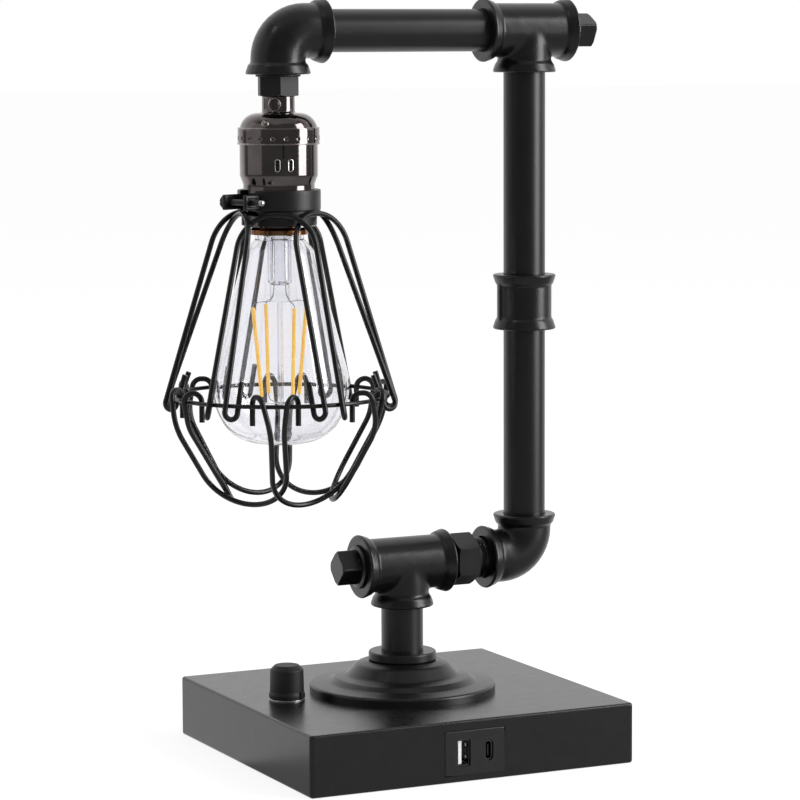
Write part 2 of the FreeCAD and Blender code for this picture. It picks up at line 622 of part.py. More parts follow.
def make_elbow(label, turn, **where):
    """A quarter bend with a level mouth along its own +X and an upright one along +Z."""
    elbow = new_body(label)
    bend_feature(elbow, "AdditivePipe", "body_radius")
    for reach, along_x in (("face_reach", False), ("run_reach", True)):
        straight = f"{reach} - bead_long - 3 * bead_step"
        corners = [(0, straight)] + bead_corners(reach)[1:-1] + [("body_radius", straight)]
        revolve(elbow, swapped(corners) if along_x else corners,
                axis="H_Axis" if along_x else "V_Axis")
    bend_feature(elbow, "SubtractivePipe", "pipe_bore / 2")
    for reach, along_x in (("face_reach", False), ("run_reach", True)):
        corners = mouth_corners(reach)[:4] + [(0, f"{reach} - socket_deep - socket_end_gap")]
        revolve(elbow, swapped(corners) if along_x else corners, "Groove",
                "H_Axis" if along_x else "V_Axis")
    return keep(place(elbow, turn=turn, **where), label)


def make_coupling():
    half = "coupling_long / 2"
    coupling = new_body("column_coupling")
    corners = bead_corners(half)
    corners[-3] = ("bead_root", f"{half} - bead_long", "bead_round")
    corners[-2] = ("coupling_root", f"{half} - bead_long - bead_step")
    corners[-1] = ("coupling_root", 0)
    revolve(coupling, corners)
    revolve(coupling, downward(corners))
    for side in (-1, 1):
        rib = box_corners(f"{side} * (coupling_root - rib_proud / 2)", 0, "3 * rib_proud", "rib_wide")
        pad(coupling, "XY_Plane", rib, "coupling_long - 2 * bead_long",
            "bead_long - coupling_long / 2")
    socket = "pipe_od / 2 + thread_gap"
    stop = "coupling_long / 2 - coupling_deep - socket_end_gap"
    wide, tall = f"{socket} + socket_bevel", f"{half} + socket_bevel"
    bore = [(0, tall), (wide, tall), (socket, half), (socket, stop), ("pipe_bore / 2", stop),
            ("pipe_bore / 2", f"-({stop})"), (socket, f"-({stop})"), (socket, f"-{half}"),
            (wide, f"-({tall})"), (0, f"-({tall})")]
    revolve(coupling, bore, "Groove")
    keep(place(coupling, "column_across", 0, "coupling_up"), "column_coupling")


def turn_down(body, corner, end, away, crown):
    """Turns the corners of a square or hexagon down at one end."""
    wide = f"{corner} + {crown}"
    revolve(body, [(f"{corner} - {crown}", end), (wide, f"{end} - {away} * {crown}"),
                   (wide, f"{end} + {away} * {crown}"),
                   (f"{corner} - {crown}", f"{end} + {away} * {crown}")], "Groove")


def make_plug(label, turn, **where):
    """A square-headed plug. Its own Z points out of the fitting."""
    plug = new_body(label)
    revolve(plug, [(0, "-plug_thread"), ("pipe_od / 2 - pipe_chamfer", "-plug_thread"),
                   ("pipe_od / 2", "pipe_chamfer - plug_thread"),
                   ("pipe_od / 2", "2 * plug_shoulder / 3"),
                   ("pipe_od / 2 - plug_relief", "plug_shoulder"), (0, "plug_shoulder")])
    pad(plug, "XY_Plane", box_corners(0, 0, "plug_square", "plug_square", "plug_bevel"),
        "plug_head", "plug_shoulder")
    corner, top = "plug_square / sqrt(2)", "plug_shoulder + plug_head"
    turn_down(plug, corner, top, 1, "plug_crown")
    return keep(place(plug, turn=turn, **where), label)


def make_hex_nipple():
    """A nipple joining the tee and the elbow, with a hexagon nearer the elbow."""
    nipple = new_body("hex_nipple")
    span = "(column_across - 2 * run_reach)"
    low = f"({span} / 2 + socket_deep + nipple_shift)"
    high = f"({span} / 2 + socket_deep - nipple_shift)"
    half = "nipple_hex / 2"
    outer, neck = "pipe_od / 2", "pipe_od / 2 - nipple_relief"
    revolve(nipple, [
        ("pipe_bore / 2", f"-{low}"), (f"{outer} - pipe_chamfer", f"-{low}"),
        (outer, f"pipe_chamfer - {low}"), (outer, f"-{half} - 2 * nipple_relief"),
        (neck, f"-{half} - nipple_relief"), (neck, f"{half} + nipple_relief"),
        (outer, f"{half} + 2 * nipple_relief"), (outer, f"{high} - pipe_chamfer"),
        (f"{outer} - pipe_chamfer", high), ("pipe_bore / 2", high)])
    pad(nipple, "XY_Plane", hexagon_corners("nipple_flats"), "nipple_hex", f"-{half}")
    for end, away in ((f"-{half}", -1), (half, 1)):
        turn_down(nipple, "nipple_flats / 2 / cos(30)", end, away, "hex_crown")
    drill(nipple, "XY_Plane", [(0, 0, "pipe_bore / 2")], "2 * nipple_hex", "-nipple_hex", True)
    place(nipple, f"run_reach + {span} / 2 + nipple_shift", 0, "run_up", ALONG_X)
    keep(nipple, "hex_nipple")


def make_pipework():
    make_pipe("stem_pipe", "base_height - sheet_wall - 4 * nut_tall / 3",
              "run_up - face_reach + socket_deep")
    make_tee("lower_tee", up="run_up")
    make_plug("lower_plug", ALONG_BACK_X * Rotation(AXIS_Z, size("plug_turn")), across="-run_reach",
              up="run_up")
    make_hex_nipple()
    make_elbow("lower_elbow", Rotation(AXIS_Z, 180), across="column_across", up="run_up")
    make_pipe("lower_column_pipe", "run_up + face_reach - socket_deep",
              "coupling_up - coupling_long / 2 + coupling_deep", across="column_across")
    make_coupling()
    make_pipe("upper_column_pipe", "coupling_up + coupling_long / 2 - coupling_deep",
              "arm_up - face_reach + socket_deep", across="column_across")
    make_tee("upper_tee", across="column_across", up="arm_up")
    make_plug("upper_plug", ALONG_X * Rotation(AXIS_Z, size("upper_plug_turn")),
              across="column_across + run_reach + upper_plug_stand", up="arm_up")
    make_pipe("arm_pipe", "head_across + run_reach - socket_deep",
              "column_across - run_reach + socket_deep", up="arm_up", turn=ALONG_X)
    make_elbow("head_elbow", Rotation(Vector(1, 0, 0), 180), across="head_across", up="arm_up")


# ---------------------------------------------------------------- lampholder

def make_holder():
    head = {"across": "head_across"}
    mouth = "arm_up - face_reach"
    bushing = new_body("hex_bushing")
    hex_top = "holder_top + bushing_hex"
    top = f"{mouth} + socket_deep - socket_bevel"
    bore, core = "tube_radius + thread_gap", "bushing_flats / 2 - cap_lip"
    revolve(bushing, [
        (bore, "holder_top"), (core, "holder_top"), (core, hex_top),
        ("bushing_flange", hex_top, "cap_lip"), ("bushing_flange", mouth), ("pipe_od / 2", mouth),
        ("pipe_od / 2", f"{top} - pipe_chamfer"), ("pipe_od / 2 - pipe_chamfer", top), (bore, top)])
    pad(bushing, "XY_Plane", hexagon_corners("bushing_flats"), "bushing_hex", "holder_top")
    turn_down(bushing, "bushing_flats / 2 / cos(30)", "holder_top", -1, "hex_crown")
    drill(bushing, "XY_Plane", [(0, 0, bore)], "arm_up", forward=True)
    keep(place(bushing, turn=Rotation(AXIS_Z, size("bushing_turn")), **head), "hex_bushing")

    tube = tube_corners("tube_radius", "tube_bore", f"{top} - tube_long", top, "pipe_chamfer")
    place(turned("threaded_tube", tube), **head)

    dome = "holder_top - neck_tall"
    rim = f"{dome} - dome_tall"
    wall = "spun_wall"
    cap = turned("holder_cap", [
        (bore, "holder_top"), ("neck_radius", "holder_top", "cap_lip"),
        ("neck_radius", dome, "neck_root"),
        ("cap_radius - dome_inset", f"{dome} - dome_fall", "dome_round"),
        ("cap_radius - cap_step", rim), ("cap_radius", rim, "cap_lip"),
        ("cap_radius", f"{rim} - cap_skirt"), (f"cap_radius - {wall}", f"{rim} - cap_skirt"),
        (f"cap_radius - {wall}", f"{rim} - {wall}"),
        (f"cap_radius - cap_step - {wall}", f"{rim} - {wall}"),
        (f"cap_radius - dome_inset - {wall}", f"{dome} - dome_fall - {wall}", f"dome_round - {wall}"),
        (bore, f"{dome} - {wall}")])
    drill(cap, "YZ_Plane", [(0, "holder_top - neck_tall / 2", "grub_radius + thread_gap")],
          "2 * neck_radius", forward=True)
    place(cap, turn=Rotation(AXIS_Z, size("grub_turn")), **head)

    grub = new_body("grub_screw")
    grub_end = "neck_radius + grub_proud"
    revolve(grub, [(0, bore), ("grub_radius", bore), ("grub_radius", grub_end, "cap_lip"),
                   (0, grub_end)])
    slot = box_corners(0, 0, "grub_radius * 3", "grub_radius / 3")
    pocket(grub, "XY_Plane", slot, "grub_slot", grub_end)
    turn = Rotation(AXIS_Z, size("grub_turn")) * Rotation(Vector(0, 1, 0), 90)
    keep(place(grub, up="holder_top - neck_tall / 2", turn=turn, **head), "grub_screw")

    shell_top = f"{rim} - shell_lap"
    shell_end = "holder_top - holder_tall"
    step = f"{rim} - cap_skirt - shell_drop"
    waist = f"{rim} - cap_skirt - waist_drop"
    shell = turned("holder_shell", [
        (f"waist_radius - {wall}", shell_end), ("waist_radius", shell_end),
        ("waist_radius", waist, "waist_round"), ("shell_radius", step, "waist_round"),
        ("shell_radius", shell_top), (f"shell_radius - {wall}", shell_top),
        (f"shell_radius - {wall}", f"{step} + {wall} / 4", "waist_round"),
        (f"waist_radius - {wall}", f"{waist} + {wall} / 4", "waist_round")])
    place(shell, **head)

    core_radius = f"shell_radius - {wall} - seat_gap"
    core_top = "core_up + core_tall"
    core = turned("holder_core", [
        ("tube_bore", "core_up"), (core_radius, "core_up"), (core_radius, core_top, "core_tall / 12"),
        ("tube_bore", core_top)])
    place(core, **head)
    inner = "(bulb_cap_radius + thread_fit)"
    outer = f"({inner} + thread_shell_wall)"
    sleeve_end = "core_up - thread_shell_tall"
    under = "core_up - thread_shell_wall"
    sleeve = turned("thread_shell", [
        (inner, sleeve_end), (outer, sleeve_end), (outer, "core_up"),
        (f"{inner} - thread_shell_step", "core_up"), (f"{inner} - thread_shell_step", under),
        (inner, under)])
    place(sleeve, **head)
    tip = "bulb_cap_up + bulb_cap_tall + seat_gap"
    contact = turned("centre_contact", [
        (0, tip), ("contact_radius", tip, "contact_radius / 8"), ("tube_bore + 1", "core_up"),
        (0, "core_up")])
    place(contact, **head)


# ---------------------------------------------------------------- cage

def make_clamp():
    """The split band that grips the lampholder, with two ears for its screw."""
    clamp = new_body("cage_clamp")
    inner = "clamp_radius - clamp_wall"
    revolve(clamp, [
        (inner, "-sleeve_drop"), (f"{inner} + sleeve_wall", "-sleeve_drop"),
        (f"{inner} + sleeve_wall", 0), ("clamp_radius", 0, "clamp_round"),
        ("clamp_radius", "clamp_tall", "clamp_round"),
        (inner, "clamp_tall")])
    low = "(clamp_tall - ear_tall) / 2"
    root = f"({inner}) / sqrt(2)"
    for start, wide in (("-ear_back - ear_wall", "ear_wall"), ("clamp_slit - ear_back", "ear_wide")):
        ear = box_corners(f"({root} + ear_reach) / 2", f"{start} + {wide} / 2",
                          f"ear_reach - ({root})", wide, "ear_wall / 3")
        pad(clamp, "XY_Plane", ear, "ear_tall", low)
    drill(clamp, "XY_Plane", [(0, 0, inner)], "clamp_tall + 1", forward=True)
    slit = box_corners("clamp_radius", "clamp_slit / 2 - ear_back", "clamp_radius", "clamp_slit")
    pocket(clamp, "XY_Plane", slit, "clamp_tall + sleeve_drop + 2", "-sleeve_drop - 1", forward=True)
    hole = [("bolt_reach", "clamp_tall / 2", "bolt_radius + bolt_gap")]
    drill(clamp, "XZ_Plane", hole, "2 * ear_reach", "ear_reach")
    turn = Rotation(AXIS_Z, size("clamp_turn"))
    keep(place(clamp, "head_across", 0, "clamp_up", turn), "cage_clamp")

    bolt = new_body("clamp_screw")
    revolve(bolt, [(0, 0), ("bolt_radius", 0), ("bolt_radius", "bolt_long", "bolt_bevel"),
                   (0, "bolt_long")])
    revolve(bolt, [(0, "-bolt_head_tall"), ("bolt_head", "-bolt_head_tall", "bolt_slot"),
                   ("bolt_head", 0), (0, 0)])
    pocket(bolt, "XY_Plane", box_corners(0, 0, "3 * bolt_head", "bolt_head / 4"), "bolt_slot",
           "-bolt_head_tall", forward=True)
    across = "bolt_reach * cos(clamp_turn) + (ear_back + ear_wall) * sin(clamp_turn)"
    back = "bolt_reach * sin(clamp_turn) - (ear_back + ear_wall) * cos(clamp_turn)"
    keep(place(bolt, f"head_across + {across}", back, "clamp_up + clamp_tall / 2", turn * ALONG_Y),
         "clamp_screw")


def arch_route():
    """One arch in the plane X = outward, Y = sideways: a foot hooked round the ring at
    each end and a round crown between them. One leg leans out and the other in, so that
    neighbours pass each other where they cross."""
    ring, half_angle = size("ring_radius"), math.radians(size("arch_half_angle"))
    reach, side = ring * math.cos(half_angle), ring * math.sin(half_angle)
    half, drop, tip = size("foot_half"), size("foot_drop"), size("foot_tip")
    weave, bend = size("arch_weave"), size("arch_crown")
    top = size("clamp_up - wire_radius - seat_gap")
    ends = {}
    for sign in (-1, 1):
        crown = Vector(size("arch_top_reach") + sign * weave, sign * size("arch_corner"), top)
        foot = Vector(reach + half, sign * side, size("ring_up"))
        down = (foot - crown).normalize()
        inside = foot - Vector(2 * half, 0, 0)
        ends[sign] = [inside - down * tip, inside + down * drop, foot + down * drop, crown]
    points = ends[-1] + ends[1][::-1]
    curl = size("hook_curl") * half
    return points, [curl, curl, bend, bend, curl, curl]


def petal_route():
    """One petal in the same axes: a hook over the ring at each end of a deep U that leans
    in below its necks. One low corner is set out and the other in, so that the petals
    overlap like a closed iris."""
    ring, half_angle = size("ring_radius"), math.radians(size("petal_half_angle"))
    half, drop, neck = size("hook_half"), size("petal_drop"), size("hook_neck")
    side, corner = ring * math.sin(half_angle), size("petal_corner")
    hinge = Vector(ring * math.cos(half_angle), 0, size("ring_up"))
    out, down = Vector(1, 0, 0), Vector(0, 0, -1)
    ends = {}
    for sign in (-1, 1):
        hook = hinge + Vector(0, sign * side, 0)
        across = sign * (side + (corner - side) * neck / drop)
        shift = out * (half - sign * size("petal_weave"))
        knee = hinge + shift + Vector(0, across, 0) + down * neck
        low = hinge + shift + Vector(0, sign * corner, 0) + down * drop - out * size("petal_in")
        ends[sign] = [hook - out * half + down * size("hook_tip"), hook - out * half - down * half,
                      hook + out * half - down * half, knee, low]
    points = ends[-1] + ends[1][::-1]
    curl, bend, bottom = size("hook_curl") * half, size("neck_bend"), size("petal_round")
    return points, [curl, curl, bend, bottom, bottom, bend, curl, curl]


def make_cage():
    make_clamp()
    ring = doc.addObject("Part::Torus", "cage_ring")
    for name, formula in (("Radius1", "ring_radius"), ("Radius2", "ring_wire")):
        setattr(ring, name, size(formula))
        ring.setExpression(name, on_sheet(formula))
    keep(place(ring, "head_across", 0, "ring_up"), "cage_ring")
    count = int(size("arch_count"))
    pitch = 360 / count
    arch = round_bar(*arch_route(), size("wire_radius"))
    turns = [size("cage_turn") + pitch * i for i in range(count)]
    arches = Part.makeCompound([arch.rotated(Vector(), AXIS_Z, turn) for turn in turns])
    shape_part("cage_arches", arches, "head_across")
    petal = round_bar(*petal_route(), size("wire_radius"))
    for number, turn in enumerate(turns, start=1):
        shape_part(f"cage_petal_{number}", petal, "head_across",
                   turn=Rotation(AXIS_Z, turn + pitch / 2))


# ---------------------------------------------------------------- bulb

def bulb_corners(inset):
    """The bulb's wall, moved in by inset, from its neck to its tip."""
    throat = f"bulb_cap_radius - spun_wall - seat_gap - {inset}"
    return [(throat, "bulb_cap_up + bulb_throat"), (throat, "bulb_neck_up + bulb_throat", "bulb_wall"),
            (f"bulb_neck - {inset}", "bulb_neck_up", "bulb_shoulder_round"),
            (f"bulb_radius - {inset}", "bulb_tip + bulb_wide_rise", f"bulb_belly_round - {inset}"),
            (f"bulb_base_radius - {inset} / 2", f"bulb_tip + bulb_tip_rise + {inset}",
             f"bulb_base_round - {inset}"),
            (0, f"bulb_tip + {inset}")]


def make_bulb():
    head = {"across": "head_across"}
    outer = bulb_corners("0")
    inner = bulb_corners("bulb_wall")
    place(turned("bulb_glass", outer + inner[::-1]), **head)
    skirt = "bulb_cap_up + bulb_skirt_tall"
    end = "bulb_cap_up + bulb_cap_tall"
    wall = "spun_wall"
    crown = f"{end} - 2 * thread_shell_wall"
    place(turned("bulb_cap", [
        (f"bulb_skirt - {wall}", "bulb_cap_up"), ("bulb_skirt", "bulb_cap_up"),
        ("bulb_skirt", f"{skirt} - 2 * bulb_skirt_round", "bulb_skirt_round"),
        ("bulb_cap_radius", skirt), ("bulb_cap_radius", f"{end} - bulb_crown"),
        ("bulb_cap_radius - bulb_crown", crown), ("contact_radius", end), (0, end),
        (0, f"{end} - 3 * {wall}"),
        (f"bulb_cap_radius - bulb_crown - {wall}", f"{crown} - 2 * {wall}"),
        (f"bulb_cap_radius - {wall}", f"{end} - bulb_crown - {wall}"),
        (f"bulb_cap_radius - {wall}", f"{skirt} - {wall} / 2")]), **head)
    flare = "bulb_cap_radius - spun_wall - bulb_wall - 2 * seat_gap"
    top = "(bulb_cap_up + mount_rise)"
    low = f"({top} - mount_tall)"
    pinch = f"({low} - mount_taper)"
    rod_low = "(bulb_tip + rod_rise)"
    place(turned("bulb_mount", [
        (0, rod_low), ("rod_radius", rod_low), ("rod_radius", pinch), ("mount_pinch", pinch),
        ("mount_pinch", f"{pinch} + mount_taper / 2", "rod_radius"),
        ("mount_radius", low, "mount_pinch"),
        ("mount_radius", f"{top} - mount_pinch", "mount_pinch"), (flare, top),
        (flare, f"{top} + mount_wall"), (0, f"{top} + mount_wall")]), **head)
    filaments, leads = [], []
    thin, hold = size("lead_radius"), size("filament_radius")
    count = int(size("filament_count"))
    for i in range(count):
        turn = math.radians(size("filament_turn") + 360 / count * i)
        way = Vector(math.cos(turn), math.sin(turn), 0)
        high = way * size("filament_top") + AXIS_Z * size(f"{pinch} - filament_fall")
        low_end = way * size("filament_base") + AXIS_Z * size(f"{rod_low} + filament_rise")
        span = low_end - high
        filaments.append(Part.makeCylinder(hold, span.Length, high, span))
        for end, away in ((high, 1), (low_end, -1)):
            tip = end + AXIS_Z * away * hold / 4
            elbow = end + AXIS_Z * away * 3 * hold
            start = way * (size("rod_radius") + thin / 4) + AXIS_Z * elbow.z
            leads.append(round_bar([start, elbow, tip], [2 * thin], thin))
    shape_part("bulb_filaments", Part.makeCompound(filaments), **head)
    shape_part("bulb_leads", Part.makeCompound(leads), **head)


# ---------------------------------------------------------------- lamp wire

def make_lamp_wires():
    radius, bend, gap = size("lead_wire"), size("lead_bend"), size("lead_gap")
    board = size(board_low() + " + board_wall") + radius + gap
    run, column = size("run_up"), size("column_across")
    arm, head = size("arm_up"), size("head_across")
    start = spot("panel_across", board_spots()[1][1], 0)
    swivel = size("arm_up - face_reach + socket_deep / 2")
    base_route = [Vector(start.x, start.y, board), Vector(0, 0, board), Vector(0, 0, run),
                  Vector(column, 0, run), Vector(column, 0, swivel)]
    shape_part("lamp_wire_base", round_bar(base_route, [bend] * 3, radius))
    joint = size("head_across + run_reach - socket_deep / 2")
    arm_route = [Vector(column, 0, swivel + gap), Vector(column, 0, arm), Vector(joint, 0, arm)]
    shape_part("lamp_wire_arm", round_bar(arm_route, [bend], radius))
    end = size("core_up + core_tall") + gap
    head_route = [Vector(joint - gap, 0, arm), Vector(head, 0, arm), Vector(head, 0, end)]
    shape_part("lamp_wire_head", round_bar(head_route, [bend], radius))


make_base()
make_cord_bushing()
make_charging_panel()
make_dimmer()
make_flange()
make_pipework()
make_holder()
make_cage()
make_bulb()
make_lamp_wires()

doc.recompute()
faults = []
for thing in doc.Objects:
    if "Invalid" in thing.State or "Error" in thing.State:
        faults.append(f"{thing.Label}: {thing.State}")
for part in subparts:
    if part.Shape.isNull() or not part.Shape.isValid():
        faults.append(f"{part.Label}: shape is null or not valid")
if faults:
    raise RuntimeError("; ".join(faults))

os.makedirs("parts", exist_ok=True)
for part in subparts:
    part.Shape.exportStep(f"parts/{part.Label}.step")
    print(f"{part.Label:20s} {len(part.Shape.Solids)} solids {part.Shape.Volume:12.1f} mm3")
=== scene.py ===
import math

import bmesh
import bpy
from mathutils import Matrix, Vector


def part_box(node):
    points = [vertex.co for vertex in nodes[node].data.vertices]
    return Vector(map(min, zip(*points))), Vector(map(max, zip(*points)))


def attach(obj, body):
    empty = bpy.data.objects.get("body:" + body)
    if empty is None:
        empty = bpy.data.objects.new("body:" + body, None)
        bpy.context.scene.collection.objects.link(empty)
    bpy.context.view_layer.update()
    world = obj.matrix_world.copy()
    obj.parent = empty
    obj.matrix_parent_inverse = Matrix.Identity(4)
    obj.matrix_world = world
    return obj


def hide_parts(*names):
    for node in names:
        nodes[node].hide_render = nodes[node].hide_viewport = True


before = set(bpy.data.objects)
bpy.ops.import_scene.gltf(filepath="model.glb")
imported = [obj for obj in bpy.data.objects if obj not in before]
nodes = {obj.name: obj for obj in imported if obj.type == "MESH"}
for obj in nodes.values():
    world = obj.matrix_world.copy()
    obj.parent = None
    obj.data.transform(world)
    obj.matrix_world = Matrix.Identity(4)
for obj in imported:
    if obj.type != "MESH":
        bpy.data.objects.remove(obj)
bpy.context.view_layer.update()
mm = 0.001
print("frame loaded")


# sRGB hex code to the linear colour that shaders take
def hexColour(code):
    channels = [int(code[i:i + 2], 16) / 255 for i in (1, 3, 5)]
    linear = [c / 12.92 if c <= 0.04045 else ((c + 0.055) / 1.055) ** 2.4 for c in channels]
    return (*linear, 1.0)


# adds a shader node, sets its properties and sockets and links what is a socket
def addNode(tree, kind, sockets=None, **settings):
    node = tree.nodes.new("ShaderNode" + kind)
    for name, value in settings.items():
        setattr(node, name, value)
    for name, value in (sockets or {}).items():
        if isinstance(value, bpy.types.NodeSocket):
            tree.links.new(value, node.inputs[name])
        else:
            node.inputs[name].default_value = value
    return node


def newMaterial(name):
    material = bpy.data.materials.new(name)
    material.use_nodes = True
    material.node_tree.nodes.clear()
    return material


def setSurface(material, shader):
    tree = material.node_tree
    output = addNode(tree, "OutputMaterial")
    tree.links.new(shader.outputs[0], output.inputs["Surface"])
    return material


# a new material, its nodes and the object position in millimetres, the base of every pattern
def patternedMaterial(name):
    material = newMaterial(name)
    tree = material.node_tree
    coordinates = addNode(tree, "TexCoord")
    scaled = addNode(tree, "VectorMath", {0: coordinates.outputs["Object"], 1: (1000, 1000, 1000)},
                     operation="MULTIPLY")
    return material, tree, scaled.outputs[0]


# how patterns turn from one value to the other, and where a corner starts to count as an edge
patterns = {"driftFrom": 0.35, "driftTo": 0.65, "openFace": 0.995, "fullCorner": 0.9, "edgeMm": 0.5,
            "colourPatchMm": 14, "wearPatchMm": 7, "mouldPatchMm": 4}


# a colour that drifts a little between two hex values over patches of a size in mm
def driftingColour(tree, position, dark, light, patchMm):
    noise = addNode(tree, "TexNoise", {"Vector": position, "Scale": 1 / patchMm, "Detail": 3.0})
    ramp = addNode(tree, "ValToRGB", {"Fac": noise.outputs["Fac"]})
    for element, place, code in zip(ramp.color_ramp.elements, (patterns["driftFrom"], patterns["driftTo"]),
                                    (dark, light)):
        element.position, element.color = place, hexColour(code)
    return ramp.outputs["Color"]


# how far a point is on a sharp edge: 0 on open faces, 1 along corners narrower than the radius
def edgeShare(tree, radiusMm):
    rounded = addNode(tree, "Bevel", {"Radius": radiusMm * mm}, samples=4)
    geometry = addNode(tree, "NewGeometry")
    agreement = addNode(tree, "VectorMath", {0: rounded.outputs[0], 1: geometry.outputs["Normal"]},
                        operation="DOT_PRODUCT")
    share = addNode(tree, "MapRange", {"Value": agreement.outputs["Value"],
                                       "From Min": patterns["openFace"], "From Max": patterns["fullCorner"],
                                       "To Min": 0.0, "To Max": 1.0})
    return share.outputs[0]


# black coatings differ in grain, depth, gloss and how their corners rub
coatings = {
    # polyester powder coat on sheet steel: satin, with a fine orange peel drawn about twice its size
    "powderCoatSatinBlack": {"dark": "#101011", "light": "#131314", "rubbed": "#161618", "roughness": 0.28,
                             "spread": 0.03, "grainMm": 0.7, "depthMm": 0.004},
    # sprayed enamel on drawn steel pipe: smooth satin with a soft long highlight
    "enamelledPipeBlack": {"dark": "#0d0d0e", "light": "#101011", "rubbed": "#18181a", "roughness": 0.34,
                           "spread": 0.03, "grainMm": 0.8, "depthMm": 0.004},
    # sprayed enamel on sand-cast malleable iron: a fine sandy skin over slight lumps
    "enamelledCastIronBlack": {"dark": "#0b0b0c", "light": "#101011", "rubbed": "#1e1e20", "roughness": 0.3,
                               "spread": 0.06, "grainMm": 0.9, "depthMm": 0.035, "wave": 0.08, "waveMm": 5},
    # thin enamel on the turned hexagon bushing: flat and even
    "enamelledBushingBlack": {"dark": "#0b0b0c", "light": "#0e0e0f", "rubbed": "#1a1a1c", "roughness": 0.5,
                              "spread": 0.05, "grainMm": 0.8, "depthMm": 0.015},
    # dipped enamel on drawn wire: semi-gloss, thick and smooth
    "dippedWireBlack": {"dark": "#0a0a0b", "light": "#0e0e0f", "rubbed": "#18181a", "roughness": 0.3,
                        "spread": 0.04, "grainMm": 2.0, "depthMm": 0.008},
    # brushed enamel on the pressed clamp band: satin
    "enamelledBandBlack": {"dark": "#0e0e0f", "light": "#121213", "rubbed": "#1c1c1e", "roughness": 0.4,
                           "spread": 0.04, "grainMm": 0.9, "depthMm": 0.006},
}


def coating(name):
    look = coatings[name]
    material, tree, position = patternedMaterial(name)
    colour = driftingColour(tree, position, look["dark"], look["light"], patterns["colourPatchMm"])
    patches = addNode(tree, "TexNoise", {"Vector": position, "Scale": 1 / patterns["wearPatchMm"],
                                         "Detail": 4.0})
    worn = addNode(tree, "Math", {0: edgeShare(tree, patterns["edgeMm"]), 1: patches.outputs["Fac"]},
                   operation="MULTIPLY")
    # a colour mix takes its colours at sockets 6 and 7 and gives the result at output 2
    rubbed = addNode(tree, "Mix", {0: worn.outputs[0], 6: colour, 7: hexColour(look["rubbed"])},
                     data_type="RGBA")
    roughness = addNode(tree, "MapRange", {"Value": patches.outputs["Fac"],
                                           "To Min": look["roughness"] - look["spread"],
                                           "To Max": look["roughness"] + look["spread"]})
    grain = addNode(tree, "TexNoise", {"Vector": position, "Scale": 1 / look["grainMm"], "Detail": 2.0})
    bump = addNode(tree, "Bump", {"Strength": 1.0, "Distance": look["depthMm"] * mm,
                                  "Height": grain.outputs["Fac"]})
    if "wave" in look:
        wave = addNode(tree, "TexNoise", {"Vector": position, "Scale": 1 / look["waveMm"], "Detail": 2.0})
        bump = addNode(tree, "Bump", {"Strength": 1.0, "Distance": look["wave"] * mm,
                                      "Height": wave.outputs["Fac"], "Normal": bump.outputs["Normal"]})
    shader = addNode(tree, "BsdfPrincipled", {"Base Color": rubbed.outputs[2],
                                              "Roughness": roughness.outputs[0],
                                              "IOR": 1.5, "Normal": bump.outputs["Normal"]})
    return setSurface(material, shader)


# black nickel plate on spun brass: a warm dark mirror with faint spinning lines
nickelPlate = {"dark": "#6c6665", "light": "#787170", "patchMm": 9, "lineScale": (0.02, 0.02, 3.0),
               "depthMm": 0.0012, "low": 0.06, "high": 0.13}


def blackNickel():
    look = nickelPlate
    material, tree, position = patternedMaterial("blackNickelOnSpunBrass")
    colour = driftingColour(tree, position, look["dark"], look["light"], look["patchMm"])
    lines = addNode(tree, "Mapping", {"Vector": position, "Scale": look["lineScale"]})
    spun = addNode(tree, "TexNoise", {"Vector": lines.outputs[0], "Scale": 1.0, "Detail": 3.0})
    bump = addNode(tree, "Bump", {"Strength": 1.0, "Distance": look["depthMm"] * mm,
                                  "Height": spun.outputs["Fac"]})
    roughness = addNode(tree, "MapRange", {"Value": spun.outputs["Fac"], "To Min": look["low"],
                                           "To Max": look["high"]})
    shader = addNode(tree, "BsdfPrincipled", {"Base Color": colour, "Metallic": 1.0,
                                              "Roughness": roughness.outputs[0],
                                              "Normal": bump.outputs["Normal"]})
    return setSurface(material, shader)


# plain metals: colours and polish of each finish
metals = {
    # zinc-plated steel: cool and slightly cloudy
    "zincPlatedSteel": {"dark": "#a9abae", "light": "#bfc1c4", "low": 0.28, "high": 0.4, "patchMm": 2},
    # rolled brass, a little tarnished
    "rolledBrass": {"dark": "#80553a", "light": "#a87a55", "low": 0.16, "high": 0.28, "patchMm": 3},
    # drawn nickel-iron lead wire
    "nickelWire": {"dark": "#8d8d8d", "light": "#a3a3a3", "low": 0.2, "high": 0.3, "patchMm": 1},
    # oil-blackened screw steel
    "blackenedSteel": {"dark": "#3a3a3c", "light": "#48484a", "low": 0.3, "high": 0.42, "patchMm": 1.5},
    # black nickel worn thin on a rolled rim
    "wornNickelRim": {"dark": "#8f8885", "light": "#a39b97", "low": 0.14, "high": 0.24, "patchMm": 2},
    # nickel rubbed bright on the edge of a punched hole
    "bareNickelEdge": {"dark": "#dcd6d2", "light": "#f2eeeb", "low": 0.16, "high": 0.26, "patchMm": 1},
}


def metal(name):
    look = metals[name]
    material, tree, position = patternedMaterial(name)
    colour = driftingColour(tree, position, look["dark"], look["light"], look["patchMm"])
    cloud = addNode(tree, "TexNoise", {"Vector": position, "Scale": 1 / look["patchMm"], "Detail": 4.0})
    roughness = addNode(tree, "MapRange", {"Value": cloud.outputs["Fac"], "To Min": look["low"],
                                           "To Max": look["high"]})
    shader = addNode(tree, "BsdfPrincipled", {"Base Color": colour, "Metallic": 1.0,
                                              "Roughness": roughness.outputs[0]})
    return setSurface(material, shader)


